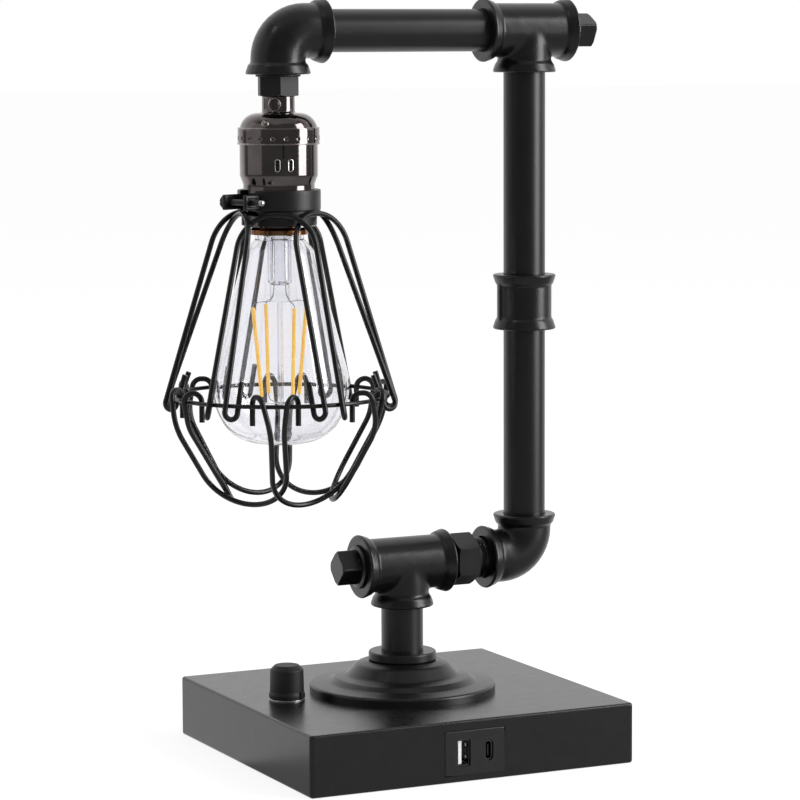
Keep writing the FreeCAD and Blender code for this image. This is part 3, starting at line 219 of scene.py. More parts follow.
# moulded and pressed non-metals: colours, polish and the grain of the mould in mm
plastics = {
    # moulded ABS knob: black with a fine matt grain
    "mouldedAbsBlack": {"dark": "#0d0d0e", "light": "#121213", "roughness": 0.36, "grainMm": 0.5,
                        "depthMm": 0.006, "ior": 1.54},
    # soft paint over the moulded knob: black and matt
    "softPaintBlack": {"dark": "#0c0c0d", "light": "#101011", "roughness": 0.55, "grainMm": 0.4,
                       "depthMm": 0.008, "ior": 1.5},
    # moulded charging panel: satin, a shade lighter than the coat round it
    "mouldedPanelBlack": {"dark": "#151516", "light": "#19191a", "roughness": 0.32, "grainMm": 0.6,
                          "depthMm": 0.004, "ior": 1.54},
    # moulded PBT port tongue: white and glossy
    "mouldedPbtWhite": {"dark": "#f3f3f1", "light": "#fafaf8", "roughness": 0.3, "grainMm": 1,
                        "depthMm": 0.002, "ior": 1.55},
    # glazed steatite: warm white
    "glazedSteatite": {"dark": "#ddd8cd", "light": "#e9e5dc", "roughness": 0.22, "grainMm": 2,
                       "depthMm": 0.01, "ior": 1.55},
    # epoxy glass board with solder mask
    "solderMaskGreen": {"dark": "#123f24", "light": "#174a2b", "roughness": 0.35, "grainMm": 0.4,
                        "depthMm": 0.01, "ior": 1.5},
    # die-cut foam rubber: dull black
    "foamRubberBlack": {"dark": "#161616", "light": "#1f1f1f", "roughness": 0.85, "grainMm": 0.4,
                        "depthMm": 0.06, "ior": 1.5},
    # extruded PVC wire cover
    "extrudedPvcBlack": {"dark": "#111112", "light": "#171718", "roughness": 0.45, "grainMm": 0.8,
                         "depthMm": 0.004, "ior": 1.53},
}


def plastic(name):
    look = plastics[name]
    material, tree, position = patternedMaterial(name)
    colour = driftingColour(tree, position, look["dark"], look["light"], patterns["mouldPatchMm"])
    grain = addNode(tree, "TexNoise", {"Vector": position, "Scale": 1 / look["grainMm"], "Detail": 3.0})
    bump = addNode(tree, "Bump", {"Strength": 1.0, "Distance": look["depthMm"] * mm,
                                  "Height": grain.outputs["Fac"]})
    shader = addNode(tree, "BsdfPrincipled", {"Base Color": colour, "Roughness": look["roughness"],
                                              "IOR": look["ior"], "Normal": bump.outputs["Normal"]})
    return setSurface(material, shader)


# blown soda-lime glass: clear and colourless, with slight waves from the mould
bulbGlass = {"tint": "#f6f6f9", "waveMm": 18, "depthMm": 0.02}


def blownGlass():
    look = bulbGlass
    material, tree, position = patternedMaterial("blownClearGlass")
    waves = addNode(tree, "TexNoise", {"Vector": position, "Scale": 1 / look["waveMm"], "Detail": 1.0})
    bump = addNode(tree, "Bump", {"Strength": 1.0, "Distance": look["depthMm"] * mm,
                                  "Height": waves.outputs["Fac"]})
    shader = addNode(tree, "BsdfPrincipled", {"Base Color": hexColour(look["tint"]), "Roughness": 0.0,
                                              "IOR": 1.5, "Transmission Weight": 1.0,
                                              "Normal": bump.outputs["Normal"]})
    return setSurface(material, shader)


# phosphor gel over a filament strip: orange-yellow, with a faint painted glow that no lamp gives
filamentGel = {"dark": "#fbc452", "light": "#ffd470", "patchMm": 2, "paintedGlowColour": "#ffc04a", "paintedGlowStrength": 0.35}


def phosphorGel():
    look = filamentGel
    material, tree, position = patternedMaterial("phosphorGelYellow")
    colour = driftingColour(tree, position, look["dark"], look["light"], look["patchMm"])
    # the emission here is a painted glow, not a lamp
    shader = addNode(tree, "BsdfPrincipled", {"Base Color": colour, "Roughness": 0.35, "IOR": 1.41,
                                              "Emission Color": hexColour(look["paintedGlowColour"]),
                                              "Emission Strength": look["paintedGlowStrength"]})
    return setSurface(material, shader)


finishes = {name: coating(name) for name in coatings}
finishes.update({name: metal(name) for name in metals})
finishes.update({name: plastic(name) for name in plastics})
finishes["blackNickel"] = blackNickel()
finishes["blownGlass"] = blownGlass()
finishes["phosphorGel"] = phosphorGel()

nodeFinishes = {
    "powderCoatSatinBlack": ["base_shell", "base_plate"],
    "mouldedPanelBlack": ["usb_panel"],
    "softPaintBlack": ["dimmer_knob"],
    "enamelledBushingBlack": ["hex_bushing"],
    "enamelledPipeBlack": ["stem_pipe", "lower_column_pipe", "upper_column_pipe", "arm_pipe", "floor_flange",
                           "stem_collar"],
    "enamelledCastIronBlack": ["lower_tee", "lower_plug", "hex_nipple", "lower_elbow", "column_coupling",
                               "upper_tee", "upper_plug", "head_elbow"],
    "dippedWireBlack": ["cage_ring", "cage_arches"] + [f"cage_petal_{i}" for i in range(1, 7)],
    "enamelledBandBlack": ["cage_clamp"],
    "blackNickel": ["holder_cap", "holder_shell", "grub_screw", "usb_a_shell", "usb_c_shell"],
    "zincPlatedSteel": ["base_screws", "dimmer", "dimmer_washer", "stem_locknut", "dimmer_shaft",
                        "threaded_tube"],
    "blackenedSteel": ["clamp_screw"],
    "rolledBrass": ["thread_shell", "centre_contact", "bulb_cap"],
    "nickelWire": ["bulb_leads"],
    "mouldedAbsBlack": ["cord_bushing", "usb_c_tongue"],
    "mouldedPbtWhite": ["usb_a_tongue"],
    "glazedSteatite": ["holder_core"],
    "solderMaskGreen": ["circuit_board"],
    "foamRubberBlack": ["base_pad"],
    "extrudedPvcBlack": ["lamp_wire_base", "lamp_wire_arm", "lamp_wire_head"],
    "blownGlass": ["bulb_glass", "bulb_mount"],
    "phosphorGel": ["bulb_filaments"],
}
for finish, names in nodeFinishes.items():
    for name in names:
        mesh = nodes[name].data
        mesh.materials.clear()
        mesh.materials.append(finishes[finish])
print("materials made")

meshing = {"mergeGap": 0.002, "widestArcStep": 0.26, "slotSides": 18}


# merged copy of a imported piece's mesh, ready for bmesh operators
def mergedCopy(name):
    bm = bmesh.new()
    bm.from_mesh(nodes[name].data)
    bmesh.ops.remove_doubles(bm, verts=bm.verts, dist=meshing["mergeGap"] * mm)
    return bm


def addObject(name, data):
    item = bpy.data.objects.new(name, data)
    bpy.context.collection.objects.link(item)
    return item


def meshObject(name, bm):
    mesh = bpy.data.meshes.new(name)
    bm.to_mesh(mesh)
    bm.free()
    return addObject(name, mesh)


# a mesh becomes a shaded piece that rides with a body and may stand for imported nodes
def finishPiece(name, bm, body, finish, standsFor=(), sharpAngle=32):
    item = meshObject(name, bm)
    item.data.materials.append(finishes[finish])
    item.data.shade_smooth()
    item.data.set_sharp_from_angle(angle=math.radians(sharpAngle))
    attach(item, body)
    if standsFor:
        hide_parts(*standsFor)
    return item


# the mesh of an object with its modifiers applied, as a new bmesh; the object goes
def applied(item):
    bpy.context.view_layer.update()
    shaped = item.evaluated_get(bpy.context.evaluated_depsgraph_get())
    bm = bmesh.new()
    bm.from_mesh(shaped.to_mesh())
    shaped.to_mesh_clear()
    bpy.data.objects.remove(item)
    return bm


# one shape taken out of another, joined to it or kept where both are
def carve(bm, cutter, operation="DIFFERENCE"):
    bmesh.ops.recalc_face_normals(cutter, faces=cutter.faces)
    block, tool = meshObject("carveBlock", bm), meshObject("carveTool", cutter)
    cut = block.modifiers.new("cut", "BOOLEAN")
    cut.object, cut.operation, cut.solver = tool, operation, "EXACT"
    carved = applied(block)
    bpy.data.objects.remove(tool)
    return carved


def moved(across, back, up):
    return Matrix.Translation((across * mm, back * mm, up * mm))


def turned(degrees, axis):
    return Matrix.Rotation(math.radians(degrees), 4, axis)


def placed(bm, place):
    bmesh.ops.transform(bm, verts=bm.verts, matrix=place)
    return bm


# place of a spot on the lampholder: its own X points outwards at an angle in degrees
def onHolder(angle, up, out=0.0):
    return moved(lampholder["across"], 0, up) @ turned(angle, "Z") @ moved(out, 0, 0)


# points in mm along an outline of (radius, height, rounding) corners, no further apart than a step
def roundedOutline(corners, step, closed=True):
    runs = []
    for i, corner in enumerate(corners):
        here = Vector(corner[:2])
        before, after = Vector(corners[i - 1][:2]), Vector(corners[(i + 1) % len(corners)][:2])
        rounding = corner[2] if len(corner) > 2 else 0
        if not rounding:
            runs.append([here])
            continue
        back, ahead = (before - here).normalized(), (after - here).normalized()
        half = back.angle(ahead) / 2
        turn = math.pi - 2 * half
        start, end = here + back * rounding / math.tan(half), here + ahead * rounding / math.tan(half)
        middle = here + (back + ahead).normalized() * rounding / math.sin(half)
        count = max(2, math.ceil(rounding * turn / step), math.ceil(turn / meshing["widestArcStep"]))
        # slerp gives unit vectors
        runs.append([middle + (start - middle).slerp(end - middle, k / count) * rounding
                     for k in range(count + 1)])
    points = []
    for i, run in enumerate(runs):
        following = runs[(i + 1) % len(runs)][0]
        points += run
        if not closed and i == len(runs) - 1:
            break
        count = math.ceil((following - run[-1]).length / step)
        points += [run[-1].lerp(following, k / count) for k in range(1, count)]
    return points


# an outline turned about an upright axis; one that isn't closed starts and ends on the axis
def spunBody(bm, centre, points, steps, closed=True):
    verts = [bm.verts.new(((centre + point[0]) * mm, 0, point[1] * mm)) for point in points]
    edges = [bm.edges.new((verts[i - 1], verts[i])) for i in range(0 if closed else 1, len(verts))]
    bmesh.ops.spin(bm, geom=verts + edges, cent=(centre * mm, 0, 0), axis=(0, 0, 1), dvec=(0, 0, 0),
                   angle=2 * math.pi, steps=steps, use_merge=True, use_duplicate=False)
    bmesh.ops.remove_doubles(bm, verts=bm.verts, dist=meshing["mergeGap"] * mm)
    bmesh.ops.recalc_face_normals(bm, faces=bm.faces)
    return bm


def spunOutline(corners, fineness, steps, centre=0, closed=True):
    return spunBody(bmesh.new(), centre, roundedOutline(corners, fineness, closed), steps, closed)


# a bar with half-round ends, long along Z, that runs outwards along X and may flare
def slotBar(bm, wide, tall, start, end, place, flare=0.0):
    made = bmesh.ops.create_circle(bm, cap_ends=True, radius=wide / 2 * mm,
                                   segments=meshing["slotSides"])["verts"]
    for vert in made:
        vert.co.x += math.copysign((tall - wide) / 2 * mm, vert.co.x)
    bmesh.ops.rotate(bm, verts=made, matrix=Matrix.Rotation(math.pi / 2, 3, "Y"))
    bmesh.ops.translate(bm, verts=made, vec=(start * mm, 0, 0))
    face = made[0].link_faces[0]
    outer = bmesh.ops.extrude_face_region(bm, geom=[face])["geom"]
    outer = [part for part in outer if isinstance(part, bmesh.types.BMVert)]
    bmesh.ops.translate(bm, verts=outer, vec=((end - start) * mm, 0, 0))
    bmesh.ops.scale(bm, verts=outer, vec=(1, 1 + 2 * flare / wide, 1 + 2 * flare / tall))
    bmesh.ops.transform(bm, verts=list(set(made) | set(outer)), matrix=place)


def addRod(bm, radius, start, end, place, segments=32):
    made = bmesh.ops.create_cone(bm, cap_ends=True, segments=segments, radius1=radius * mm,
                                 radius2=radius * mm, depth=(end - start) * mm)["verts"]
    bmesh.ops.translate(bm, verts=made, vec=(0, 0, (start + end) / 2 * mm))
    bmesh.ops.transform(bm, verts=made, matrix=place)
    return bm


def addBall(bm, radius, sides, place):
    bmesh.ops.create_uvsphere(bm, u_segments=sides[0], v_segments=sides[1], radius=radius * mm, matrix=place)


# a box in mm between two corners
def addBox(bm, low, high):
    made = bmesh.ops.create_cube(bm, size=1.0)["verts"]
    bmesh.ops.scale(bm, verts=made, vec=[(b - a) * mm for a, b in zip(low, high)])
    bmesh.ops.translate(bm, verts=made, vec=[(a + b) / 2 * mm for a, b in zip(low, high)])
    return bm


# a box in mm round its middle
def addBlock(bm, size, middle):
    return addBox(bm, [at - side / 2 for at, side in zip(middle, size)],
                  [at + side / 2 for at, side in zip(middle, size)])


# some edges of a shape, or all of them, get a rounding
def roundEdges(bm, offset, segments=3, edges=None):
    bmesh.ops.bevel(bm, geom=bm.edges if edges is None else edges, offset=offset * mm, segments=segments,
                    profile=0.5, affect="EDGES", material=-1)
    return bm


def wireCurve(name, radius, resolution):
    curve = bpy.data.curves.new(name, "CURVE")
    curve.dimensions, curve.bevel_depth, curve.bevel_resolution = "3D", radius * mm, resolution
    return curve


def addRoute(curve, kind, places):
    spline = curve.splines.new(kind)
    spline.points.add(len(places) - 1)
    for point, place in zip(spline.points, places):
        point.co = (*place, 1)
    return spline


# spun metal lampholder: punched dimples round the collar, two slots and a seam below it
lampholder = {
    "across": -66.4, "top": 333.0, "bore": 5.04, "wall": 0.8, "steps": 144, "fineness": 0.9,
    "neckRadius": 8.1, "neckRoot": 1.0, "dome": 325.0, "domeRadius": 16.8, "domeFall": 0.8, "domeRound": 9.0,
    "rim": 317.6, "rimStep": 1.0, "capRadius": 20.2, "capLip": 0.4, "skirtEnd": 309.3,
    "shellRadius": 19.3, "shellTop": 316.4, "shellStep": 294.1, "waistRadius": 17.7, "waist": 289.8,
    "waistRound": 3.0, "shellEnd": 269.1,
    "dimples": 20, "dimpleUp": 312.5, "dimpleTurn": -103.3, "dimpleRadius": 1.7, "dimpleOut": 1.05,
    "slotTurns": (-115.5, -96.1), "slotUp": 299.5, "slotWide": 2.0, "slotTall": 5.6, "slotDeep": 0.7,
    "slotLip": 0.35, "seamTurn": -106.8, "seamUp": 306.0, "seamWide": 1.1, "seamTall": 6.4,
    "beads": ((20.0, 309.75, 0.45), (19.9, 317.35, 0.35)), "beadSides": 10,
    "rivetTurn": -134.9, "rivetUp": 319.7, "rivetOut": 18.2, "rivetRadius": 2.0, "rivetTall": 1.0,
    "rivetTilt": 25, "grubTurn": -128.0, "grubUp": 329.0, "grubRadius": 2.54, "dishRadius": 3.5,
    "dishOut": 1.9, "rimRound": 0.28, "rimSteps": 40, "rimResolution": 3, "grubRim": 2.95, "cutPast": 1,
    "dimpleSides": (18, 12), "dishSides": (24, 16), "rivetSides": (20, 14),
}


def makeHolderCap():
    look = lampholder
    wall, dome, rim, inner = look["wall"], look["dome"], look["rim"], look["capRadius"] - look["wall"]
    shoulder = look["capRadius"] - look["rimStep"]
    cap = spunOutline([
        (look["bore"], look["top"]), (look["neckRadius"], look["top"], look["capLip"]),
        (look["neckRadius"], dome, look["neckRoot"]),
        (look["domeRadius"], dome - look["domeFall"], look["domeRound"]),
        (shoulder, rim), (look["capRadius"], rim, look["capLip"]), (look["capRadius"], look["skirtEnd"]),
        (inner, look["skirtEnd"]), (inner, rim - wall), (shoulder - wall, rim - wall),
        (look["domeRadius"] - wall, dome - look["domeFall"] - wall, look["domeRound"] - wall),
        (look["bore"], dome - wall)], look["fineness"], look["steps"], look["across"])
    cuts = bmesh.new()
    for i in range(look["dimples"]):
        place = onHolder(look["dimpleTurn"] + 360 / look["dimples"] * i, look["dimpleUp"],
                         look["capRadius"] + look["dimpleOut"])
        addBall(cuts, look["dimpleRadius"], look["dimpleSides"], place)
    dish = onHolder(look["grubTurn"], look["grubUp"], look["neckRadius"] + look["dishOut"])
    addBall(cuts, look["dishRadius"], look["dishSides"], dish)
    cap = carve(cap, cuts)
    alongScrew = onHolder(look["grubTurn"], look["grubUp"], look["neckRadius"]) @ turned(90, "Y")
    cap = carve(cap, addRod(bmesh.new(), look["grubRadius"], -look["neckRadius"] / 2,
                            look["neckRadius"] / 2, alongScrew))
    finishPiece("holder_cap_spun", cap, "head", "blackNickel", ["holder_cap"])


# bright rolled edges where the metal is punched: round both slots and round the set screw
def makePunchedRims():
    look = lampholder
    rims = wireCurve("punchedRims", look["rimRound"], look["rimResolution"])
    half, straight = look["slotWide"] / 2 + look["rimRound"] / 2, (look["slotTall"] - look["slotWide"]) / 2
    loops = [(turn, look["slotUp"], look["shellRadius"], half, straight) for turn in look["slotTurns"]]
    loops.append((look["grubTurn"], look["grubUp"], look["neckRadius"], look["grubRim"], 0))
    for turn, up, radius, loopRadius, straight in loops:
        rim = []
        for i in range(look["rimSteps"]):
            angle = 2 * math.pi * (i + 0.5) / look["rimSteps"]
            across = math.degrees(loopRadius * math.cos(angle) / radius)
            along = loopRadius * math.sin(angle) + math.copysign(straight, math.sin(angle))
            rim.append(onHolder(turn + across, up + along, radius).translation)
        addRoute(rims, "POLY", rim).use_cyclic_u = True
    rims = applied(addObject("punchedRims", rims))
    finishPiece("holder_punched_rims", rims, "head", "bareNickelEdge")


# bright rolled beads at the collar's two rims and the rivet head on the dome
def makeHolderTrim():
    look = lampholder
    trim = bmesh.new()
    turns = [2 * math.pi * k / look["beadSides"] for k in range(look["beadSides"])]
    for out, up, radius in look["beads"]:
        circle = [(out + radius * math.cos(turn), up + radius * math.sin(turn)) for turn in turns]
        spunBody(trim, look["across"], circle, look["steps"])
    place = onHolder(look["rivetTurn"], look["rivetUp"], look["rivetOut"]) @ turned(-look["rivetTilt"], "Y")
    squash = Matrix.Diagonal((look["rivetTall"], look["rivetRadius"], look["rivetRadius"], 1))
    addBall(trim, 1, look["rivetSides"], place @ squash)
    finishPiece("holder_cap_trim", trim, "head", "wornNickelRim")


def makeHolderShell():
    look = lampholder
    radius, deep, wall, bend = look["shellRadius"], look["slotDeep"], look["wall"], look["waistRound"]
    past = radius + look["cutPast"]
    # the inner face turns a little higher, so the wall stays even along the slope
    innerRise = wall / 4
    shell = spunOutline([
        (look["waistRadius"] - wall, look["shellEnd"]), (look["waistRadius"], look["shellEnd"]),
        (look["waistRadius"], look["waist"], bend), (radius, look["shellStep"], bend),
        (radius, look["shellTop"]), (radius - wall, look["shellTop"]),
        (radius - wall, look["shellStep"] + innerRise, bend),
        (look["waistRadius"] - wall, look["waist"] + innerRise, bend)],
        look["fineness"], look["steps"], look["across"])
    slots, lips, shadeFills = bmesh.new(), bmesh.new(), bmesh.new()
    for turn in look["slotTurns"]:
        place = onHolder(turn, look["slotUp"])
        slotBar(slots, look["slotWide"], look["slotTall"], radius - deep, past, place)
        slotBar(lips, look["slotWide"], look["slotTall"], radius - look["slotLip"],
                radius + look["slotLip"], place, flare=2 * look["slotLip"])
        # a thin black fill at the bottom of each slot and of the seam stands for the shade inside the hole:
        # painted shade
        slotBar(shadeFills, look["slotWide"], look["slotTall"], radius - deep,
                radius - (deep + look["slotLip"]) / 2, place)
    seam = onHolder(look["seamTurn"], look["seamUp"])
    slotBar(slots, look["seamWide"], look["seamTall"], radius - deep, past, seam)
    slotBar(shadeFills, look["seamWide"], look["seamTall"], radius - deep, radius - deep / 2, seam)
    shell = carve(carve(shell, slots), lips)
    bmesh.ops.recalc_face_normals(shadeFills, faces=shadeFills.faces)
    finishPiece("holder_shell_spun", shell, "head", "blackNickel", ["holder_shell"])
    finishPiece("holder_slot_painted_shade", shadeFills, "head", "mouldedAbsBlack")


makeHolderCap()
makeHolderTrim()
makePunchedRims()
makeHolderShell()
print("lampholder made")

# pressed band that holds the cage on the lampholder: thin ears, drawn together by one screw
clamp = {
    "up": 277.0, "turn": -155.6, "radius": 20.6, "inner": 17.74, "tall": 10.2, "rounding": 0.6,
    "sleeve": 18.64, "sleeveDrop": 7.3, "steps": 144, "fineness": 1.2, "slit": (-9.0, 2.7),
    "farEar": (16.3, -11.2, 2.25), "nearEar": (18.8, 2.65, 2.4), "earEnd": 29.5, "earUp": 4.6,
    "earTall": 7.5, "earRound": 0.7, "dishLong": 6.4, "dishTall": 4.6, "dishDeep": 0.6, "dishRound": 0.48,
    "dishOut": 25.0, "screwOut": 25.6, "screwFrom": -11.2, "screwHead": 3.2, "headTall": 2.6,
    "headSlot": 0.9, "slotHalf": 0.4, "screwRadius": 1.4, "screwGap": 0.05, "screwLong": 23.6,
    "screwSteps": 32, "nutRadius": 1.5, "nutRound": 0.375, "nutCrown": 0.75, "nutFrom": 21.9,
    "nutEnd": 24.4, "nutSteps": 24, "nutFineness": 0.3,
}


def makeClamp():
    look = clamp
    inner, sleeve, radius, tall = look["inner"], look["sleeve"], look["radius"], look["tall"]
    band = spunOutline([
        (inner, -look["sleeveDrop"]), (sleeve, -look["sleeveDrop"]), (sleeve, 0),
        (radius, 0, look["rounding"]), (radius, tall, look["rounding"]), (inner, tall)],
        look["fineness"], look["steps"])
    slitLow, slitHigh = look["slit"]
    band = carve(band, addBox(bmesh.new(), (0, slitLow, -radius), (2 * radius, slitHigh, radius)))
    low, high = look["earUp"] - look["earTall"] / 2, look["earUp"] + look["earTall"] / 2
    for start, side, wide in (look["farEar"], look["nearEar"]):
        ear = addBox(bmesh.new(), (start, side, low), (look["earEnd"], side + wide, high))
        band = carve(band, roundEdges(ear, look["earRound"]), "UNION")
    face = look["nearEar"][1] + look["nearEar"][2]
    dish = addBlock(bmesh.new(), (look["dishLong"], 2 * look["dishDeep"], look["dishTall"]),
                    (look["dishOut"], face, look["earUp"]))
    band = carve(band, roundEdges(dish, look["dishRound"]))
    onBand = onHolder(look["turn"], look["up"])
    alongScrew = moved(look["screwOut"], look["screwFrom"], look["earUp"]) @ turned(-90, "X")
    hole = addRod(bmesh.new(), look["screwRadius"] + look["screwGap"], -look["screwLong"],
                  look["screwLong"], alongScrew)
    band = placed(carve(band, hole), onBand)
    finishPiece("cage_clamp_pressed", band, "head", "enamelledBandBlack", ["cage_clamp"])
    head, thread = look["screwHead"], look["screwRadius"]
    screw = spunOutline([
        (0, -look["headTall"]), (head, -look["headTall"], look["headSlot"]), (head, 0), (thread, 0),
        (thread, look["screwLong"]), (0, look["screwLong"])],
        look["fineness"], look["screwSteps"], closed=False)
    screw = carve(screw, addBox(bmesh.new(), (-2 * head, -look["slotHalf"], -2 * look["headTall"]),
                                (2 * head, look["slotHalf"], look["headSlot"] - look["headTall"])))
    placed(screw, onBand @ alongScrew)
    finishPiece("clamp_screw_turned", screw, "head", "blackenedSteel", ["clamp_screw"])
    wide = look["nutRadius"]
    nut = spunOutline([
        (0, look["nutFrom"]), (wide, look["nutFrom"], look["nutRound"]),
        (wide, look["nutEnd"] - look["nutRound"], look["nutCrown"]), (0, look["nutEnd"])],
        look["nutFineness"], look["nutSteps"], closed=False)
    placed(nut, onBand @ alongScrew)
    finishPiece("clamp_screw_nut", nut, "head", "zincPlatedSteel")


makeClamp()
print("clamp made")

# glass work in the bulb: a hollow stem, the press that holds the leads, and a rod down the middle
bulbWork = {
    "flareUp": 266.1, "flareOut": 11.17, "flareWall": 0.8, "flareFrom": 262.8, "tube": 5.9, "wall": 1.1,
    "tubeEnd": 239.8, "bend": 3.0, "tubeBend": 2.2, "pressUp": 241.5, "pressEnd": 231.2, "pressWide": 9.8,
    "pressThick": 4.4, "pressRound": 1.8, "pressTurn": -25.6, "rod": 1.5, "rodEnd": 179.8, "rodRound": 0.9,
    "rodSunk": 2, "pressSegments": 5, "steps": 48, "fineness": 1.5, "turn": -175.6, "count": 4, "twist": 5.0,
    "topOut": 15.0, "topUp": 229.4, "lowOut": 11.0, "lowUp": 185.0, "strip": 0.95, "stripRound": 0.6,
    "stripSides": 20, "endSegments": 4, "lead": 0.22, "leadSides": 2, "leadSteps": 4, "leadOrder": 3,
    "leadRise": 1.5, "leadApart": 2.6, "leadSpread": 0.6, "leadBendUp": 3, "topShare": 0.7,
    "topBendUp": 1, "lowShare": 0.8, "lowEnd": 0.5,
}


def makeGlassStem():
    look = bulbWork
    tube, inner, bend = look["tube"], look["tube"] - look["wall"], look["bend"]
    glass = spunOutline([
        (0, look["tubeEnd"]), (tube, look["tubeEnd"], look["tubeBend"]), (tube, look["flareFrom"], bend),
        (look["flareOut"], look["flareUp"]), (look["flareOut"], look["flareUp"] + look["flareWall"]),
        (inner, look["flareFrom"] + look["wall"], bend),
        (inner, look["tubeEnd"] + look["wall"], look["tubeBend"] - look["wall"] / 2),
        (0, look["tubeEnd"] + look["wall"])], look["fineness"], look["steps"], closed=False)
    wide, thick = look["pressWide"] / 2, look["pressThick"] / 2
    press = addBox(bmesh.new(), (-wide, -thick, look["pressEnd"]),
                   (wide, thick, look["pressUp"] - look["wall"]))
    placed(roundEdges(press, look["pressRound"], look["pressSegments"]), turned(look["pressTurn"], "Z"))
    rodTop = look["pressEnd"] + look["rodSunk"]
    rod = spunOutline([
        (0, look["rodEnd"]), (look["rod"], look["rodEnd"], look["rodRound"]), (look["rod"], rodTop),
        (0, rodTop)], look["fineness"], look["steps"] // 2, closed=False)
    glass = placed(carve(carve(glass, press, "UNION"), rod, "UNION"), moved(lampholder["across"], 0, 0))
    finishPiece("bulb_stem_blown", glass, "head", "blownGlass", ["bulb_mount"])


def onBulb(angle, out, up):
    return onHolder(angle, up, out).translation


def makeFilaments():
    look = bulbWork
    strips = bmesh.new()
    wires = wireCurve("leadWires", look["lead"], look["leadSides"])
    wires.resolution_u, wires.use_fill_caps = look["leadSteps"], True
    for i in range(look["count"]):
        angle = look["turn"] + 360 / look["count"] * i
        top = onBulb(angle, look["topOut"], look["topUp"])
        low = onBulb(angle + look["twist"], look["lowOut"], look["lowUp"])
        long = (top - low).length
        rod = addRod(bmesh.new(), look["strip"], 0, long / mm, Matrix(), look["stripSides"])
        # the rims of its two flat ends
        rims = [edge for edge in rod.edges if any(len(face.verts) > 4 for face in edge.link_faces)]
        roundEdges(rod, look["stripRound"], look["endSegments"], rims)
        turn = (top - low).to_track_quat("Z", "Y").to_matrix().to_4x4()
        placed(rod, Matrix.Translation(low) @ turn)
        piece = bpy.data.meshes.new("strip")
        rod.to_mesh(piece)
        rod.free()
        strips.from_mesh(piece)
        bpy.data.meshes.remove(piece)
        rise = Vector((0, 0, look["leadRise"] * mm))
        # each lead enters the press at the nearer of its two narrow sides
        nearSide = math.cos(math.radians(angle - look["pressTurn"])) > 0
        side = look["pressTurn"] + (0 if nearSide else 180)
        upperLead = [top, top + rise,
                     onBulb(angle, look["topOut"] * look["topShare"], look["pressEnd"] + look["topBendUp"]),
                     onBulb(side, look["pressWide"] / 2, look["pressEnd"]),
                     onBulb(side, look["leadApart"] + look["leadSpread"],
                            look["pressEnd"] + look["leadBendUp"]),
                     onBulb(side, look["leadApart"], look["tubeEnd"]),
                     onBulb(side, look["leadApart"], look["flareUp"])]
        lowTurn, lowJoin = angle + look["twist"], look["rodEnd"] + look["leadRise"]
        lowerLead = [low, low - rise, onBulb(lowTurn, look["lowOut"] * look["lowShare"], lowJoin),
                     onBulb(lowTurn, look["lowEnd"], lowJoin)]
        for route in (upperLead, lowerLead):
            spline = addRoute(wires, "NURBS", route)
            spline.order_u, spline.use_endpoint_u = look["leadOrder"], True
    finishPiece("bulb_filament_strips", strips, "head", "phosphorGel", ["bulb_filaments"])
    wires = applied(addObject("leadWires", wires))
    finishPiece("bulb_lead_wires", wires, "head", "nickelWire", ["bulb_leads"])


makeGlassStem()
makeFilaments()
print("bulb work made")

# sand castings: every corner a little soft, and a fillet where the branch of a tee leaves its run
castings = {
    "pieces": {"lower_tee": "base", "lower_elbow": "base", "column_coupling": "base", "upper_tee": "arm",
               "head_elbow": "head"},
    "tees": ("lower_tee", "upper_tee"), "voxel": 0.5, "softening": 3,
    "beadRadius": 16.13, "creaseFrom": 11.6, "creaseTop": 1, "filletReach": (7.0, 4.5, 2.5),
    "filletRounds": (6, 10, 10),
}


# points of a tee near the crease between branch and run
def creasePoints(bm, name, reach):
    low, high = (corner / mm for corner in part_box(name))
    middle = (low.x + high.x) / 2
    up = high.z - castings["beadRadius"]
    found = []
    for vert in bm.verts:
        across, back, height = abs(vert.co.x / mm - middle), abs(vert.co.y / mm), vert.co.z / mm - up
        outside = math.hypot(back, min(across, -height)) > castings["creaseFrom"]
        if outside and height < castings["creaseTop"] and abs(across + height) < reach:
            found.append(vert)
    return found


def softenVerts(bm, verts, rounds):
    for i in range(rounds):
        bmesh.ops.smooth_vert(bm, verts=verts, factor=0.5, use_axis_x=True, use_axis_y=True, use_axis_z=True)


def makeCasting(name, body):
    rough = meshObject(name + "_rough", mergedCopy(name))
    remesh = rough.modifiers.new("remesh", "REMESH")
    remesh.mode, remesh.voxel_size = "VOXEL", castings["voxel"] * mm
    bm = applied(rough)
    softenVerts(bm, bm.verts, castings["softening"])
    if name in castings["tees"]:
        for reach, rounds in zip(castings["filletReach"], castings["filletRounds"]):
            softenVerts(bm, creasePoints(bm, name, reach), rounds)
    finishPiece(name + "_cast", bm, body, "enamelledCastIronBlack", [name])


for castName, castBody in castings["pieces"].items():
    makeCasting(castName, castBody)
print("castings made")

# thread of half-inch pipe: 14 crests to the inch, about two of them bare beside the nipple's hexagon
threads = {"pitch": 1.814, "stepsPerTurn": 48, "crest": 10.62, "root": 9.7,
           "nippleUp": 95.7, "bareStretches": ((41.8, 3.3),)}

# the nipple's hexagon, longer and nearer the tee than its blank, and the necks beside it, cut down to
# just under the thread's root
nippleHexagon = {"blankMiddle": 36.7, "blankHalf": 4.9, "middle": 33.1, "half": 5.95, "neckLong": 1.85,
                 "neck": 9.6, "endRing": 0.05, "sharpAngle": 14}


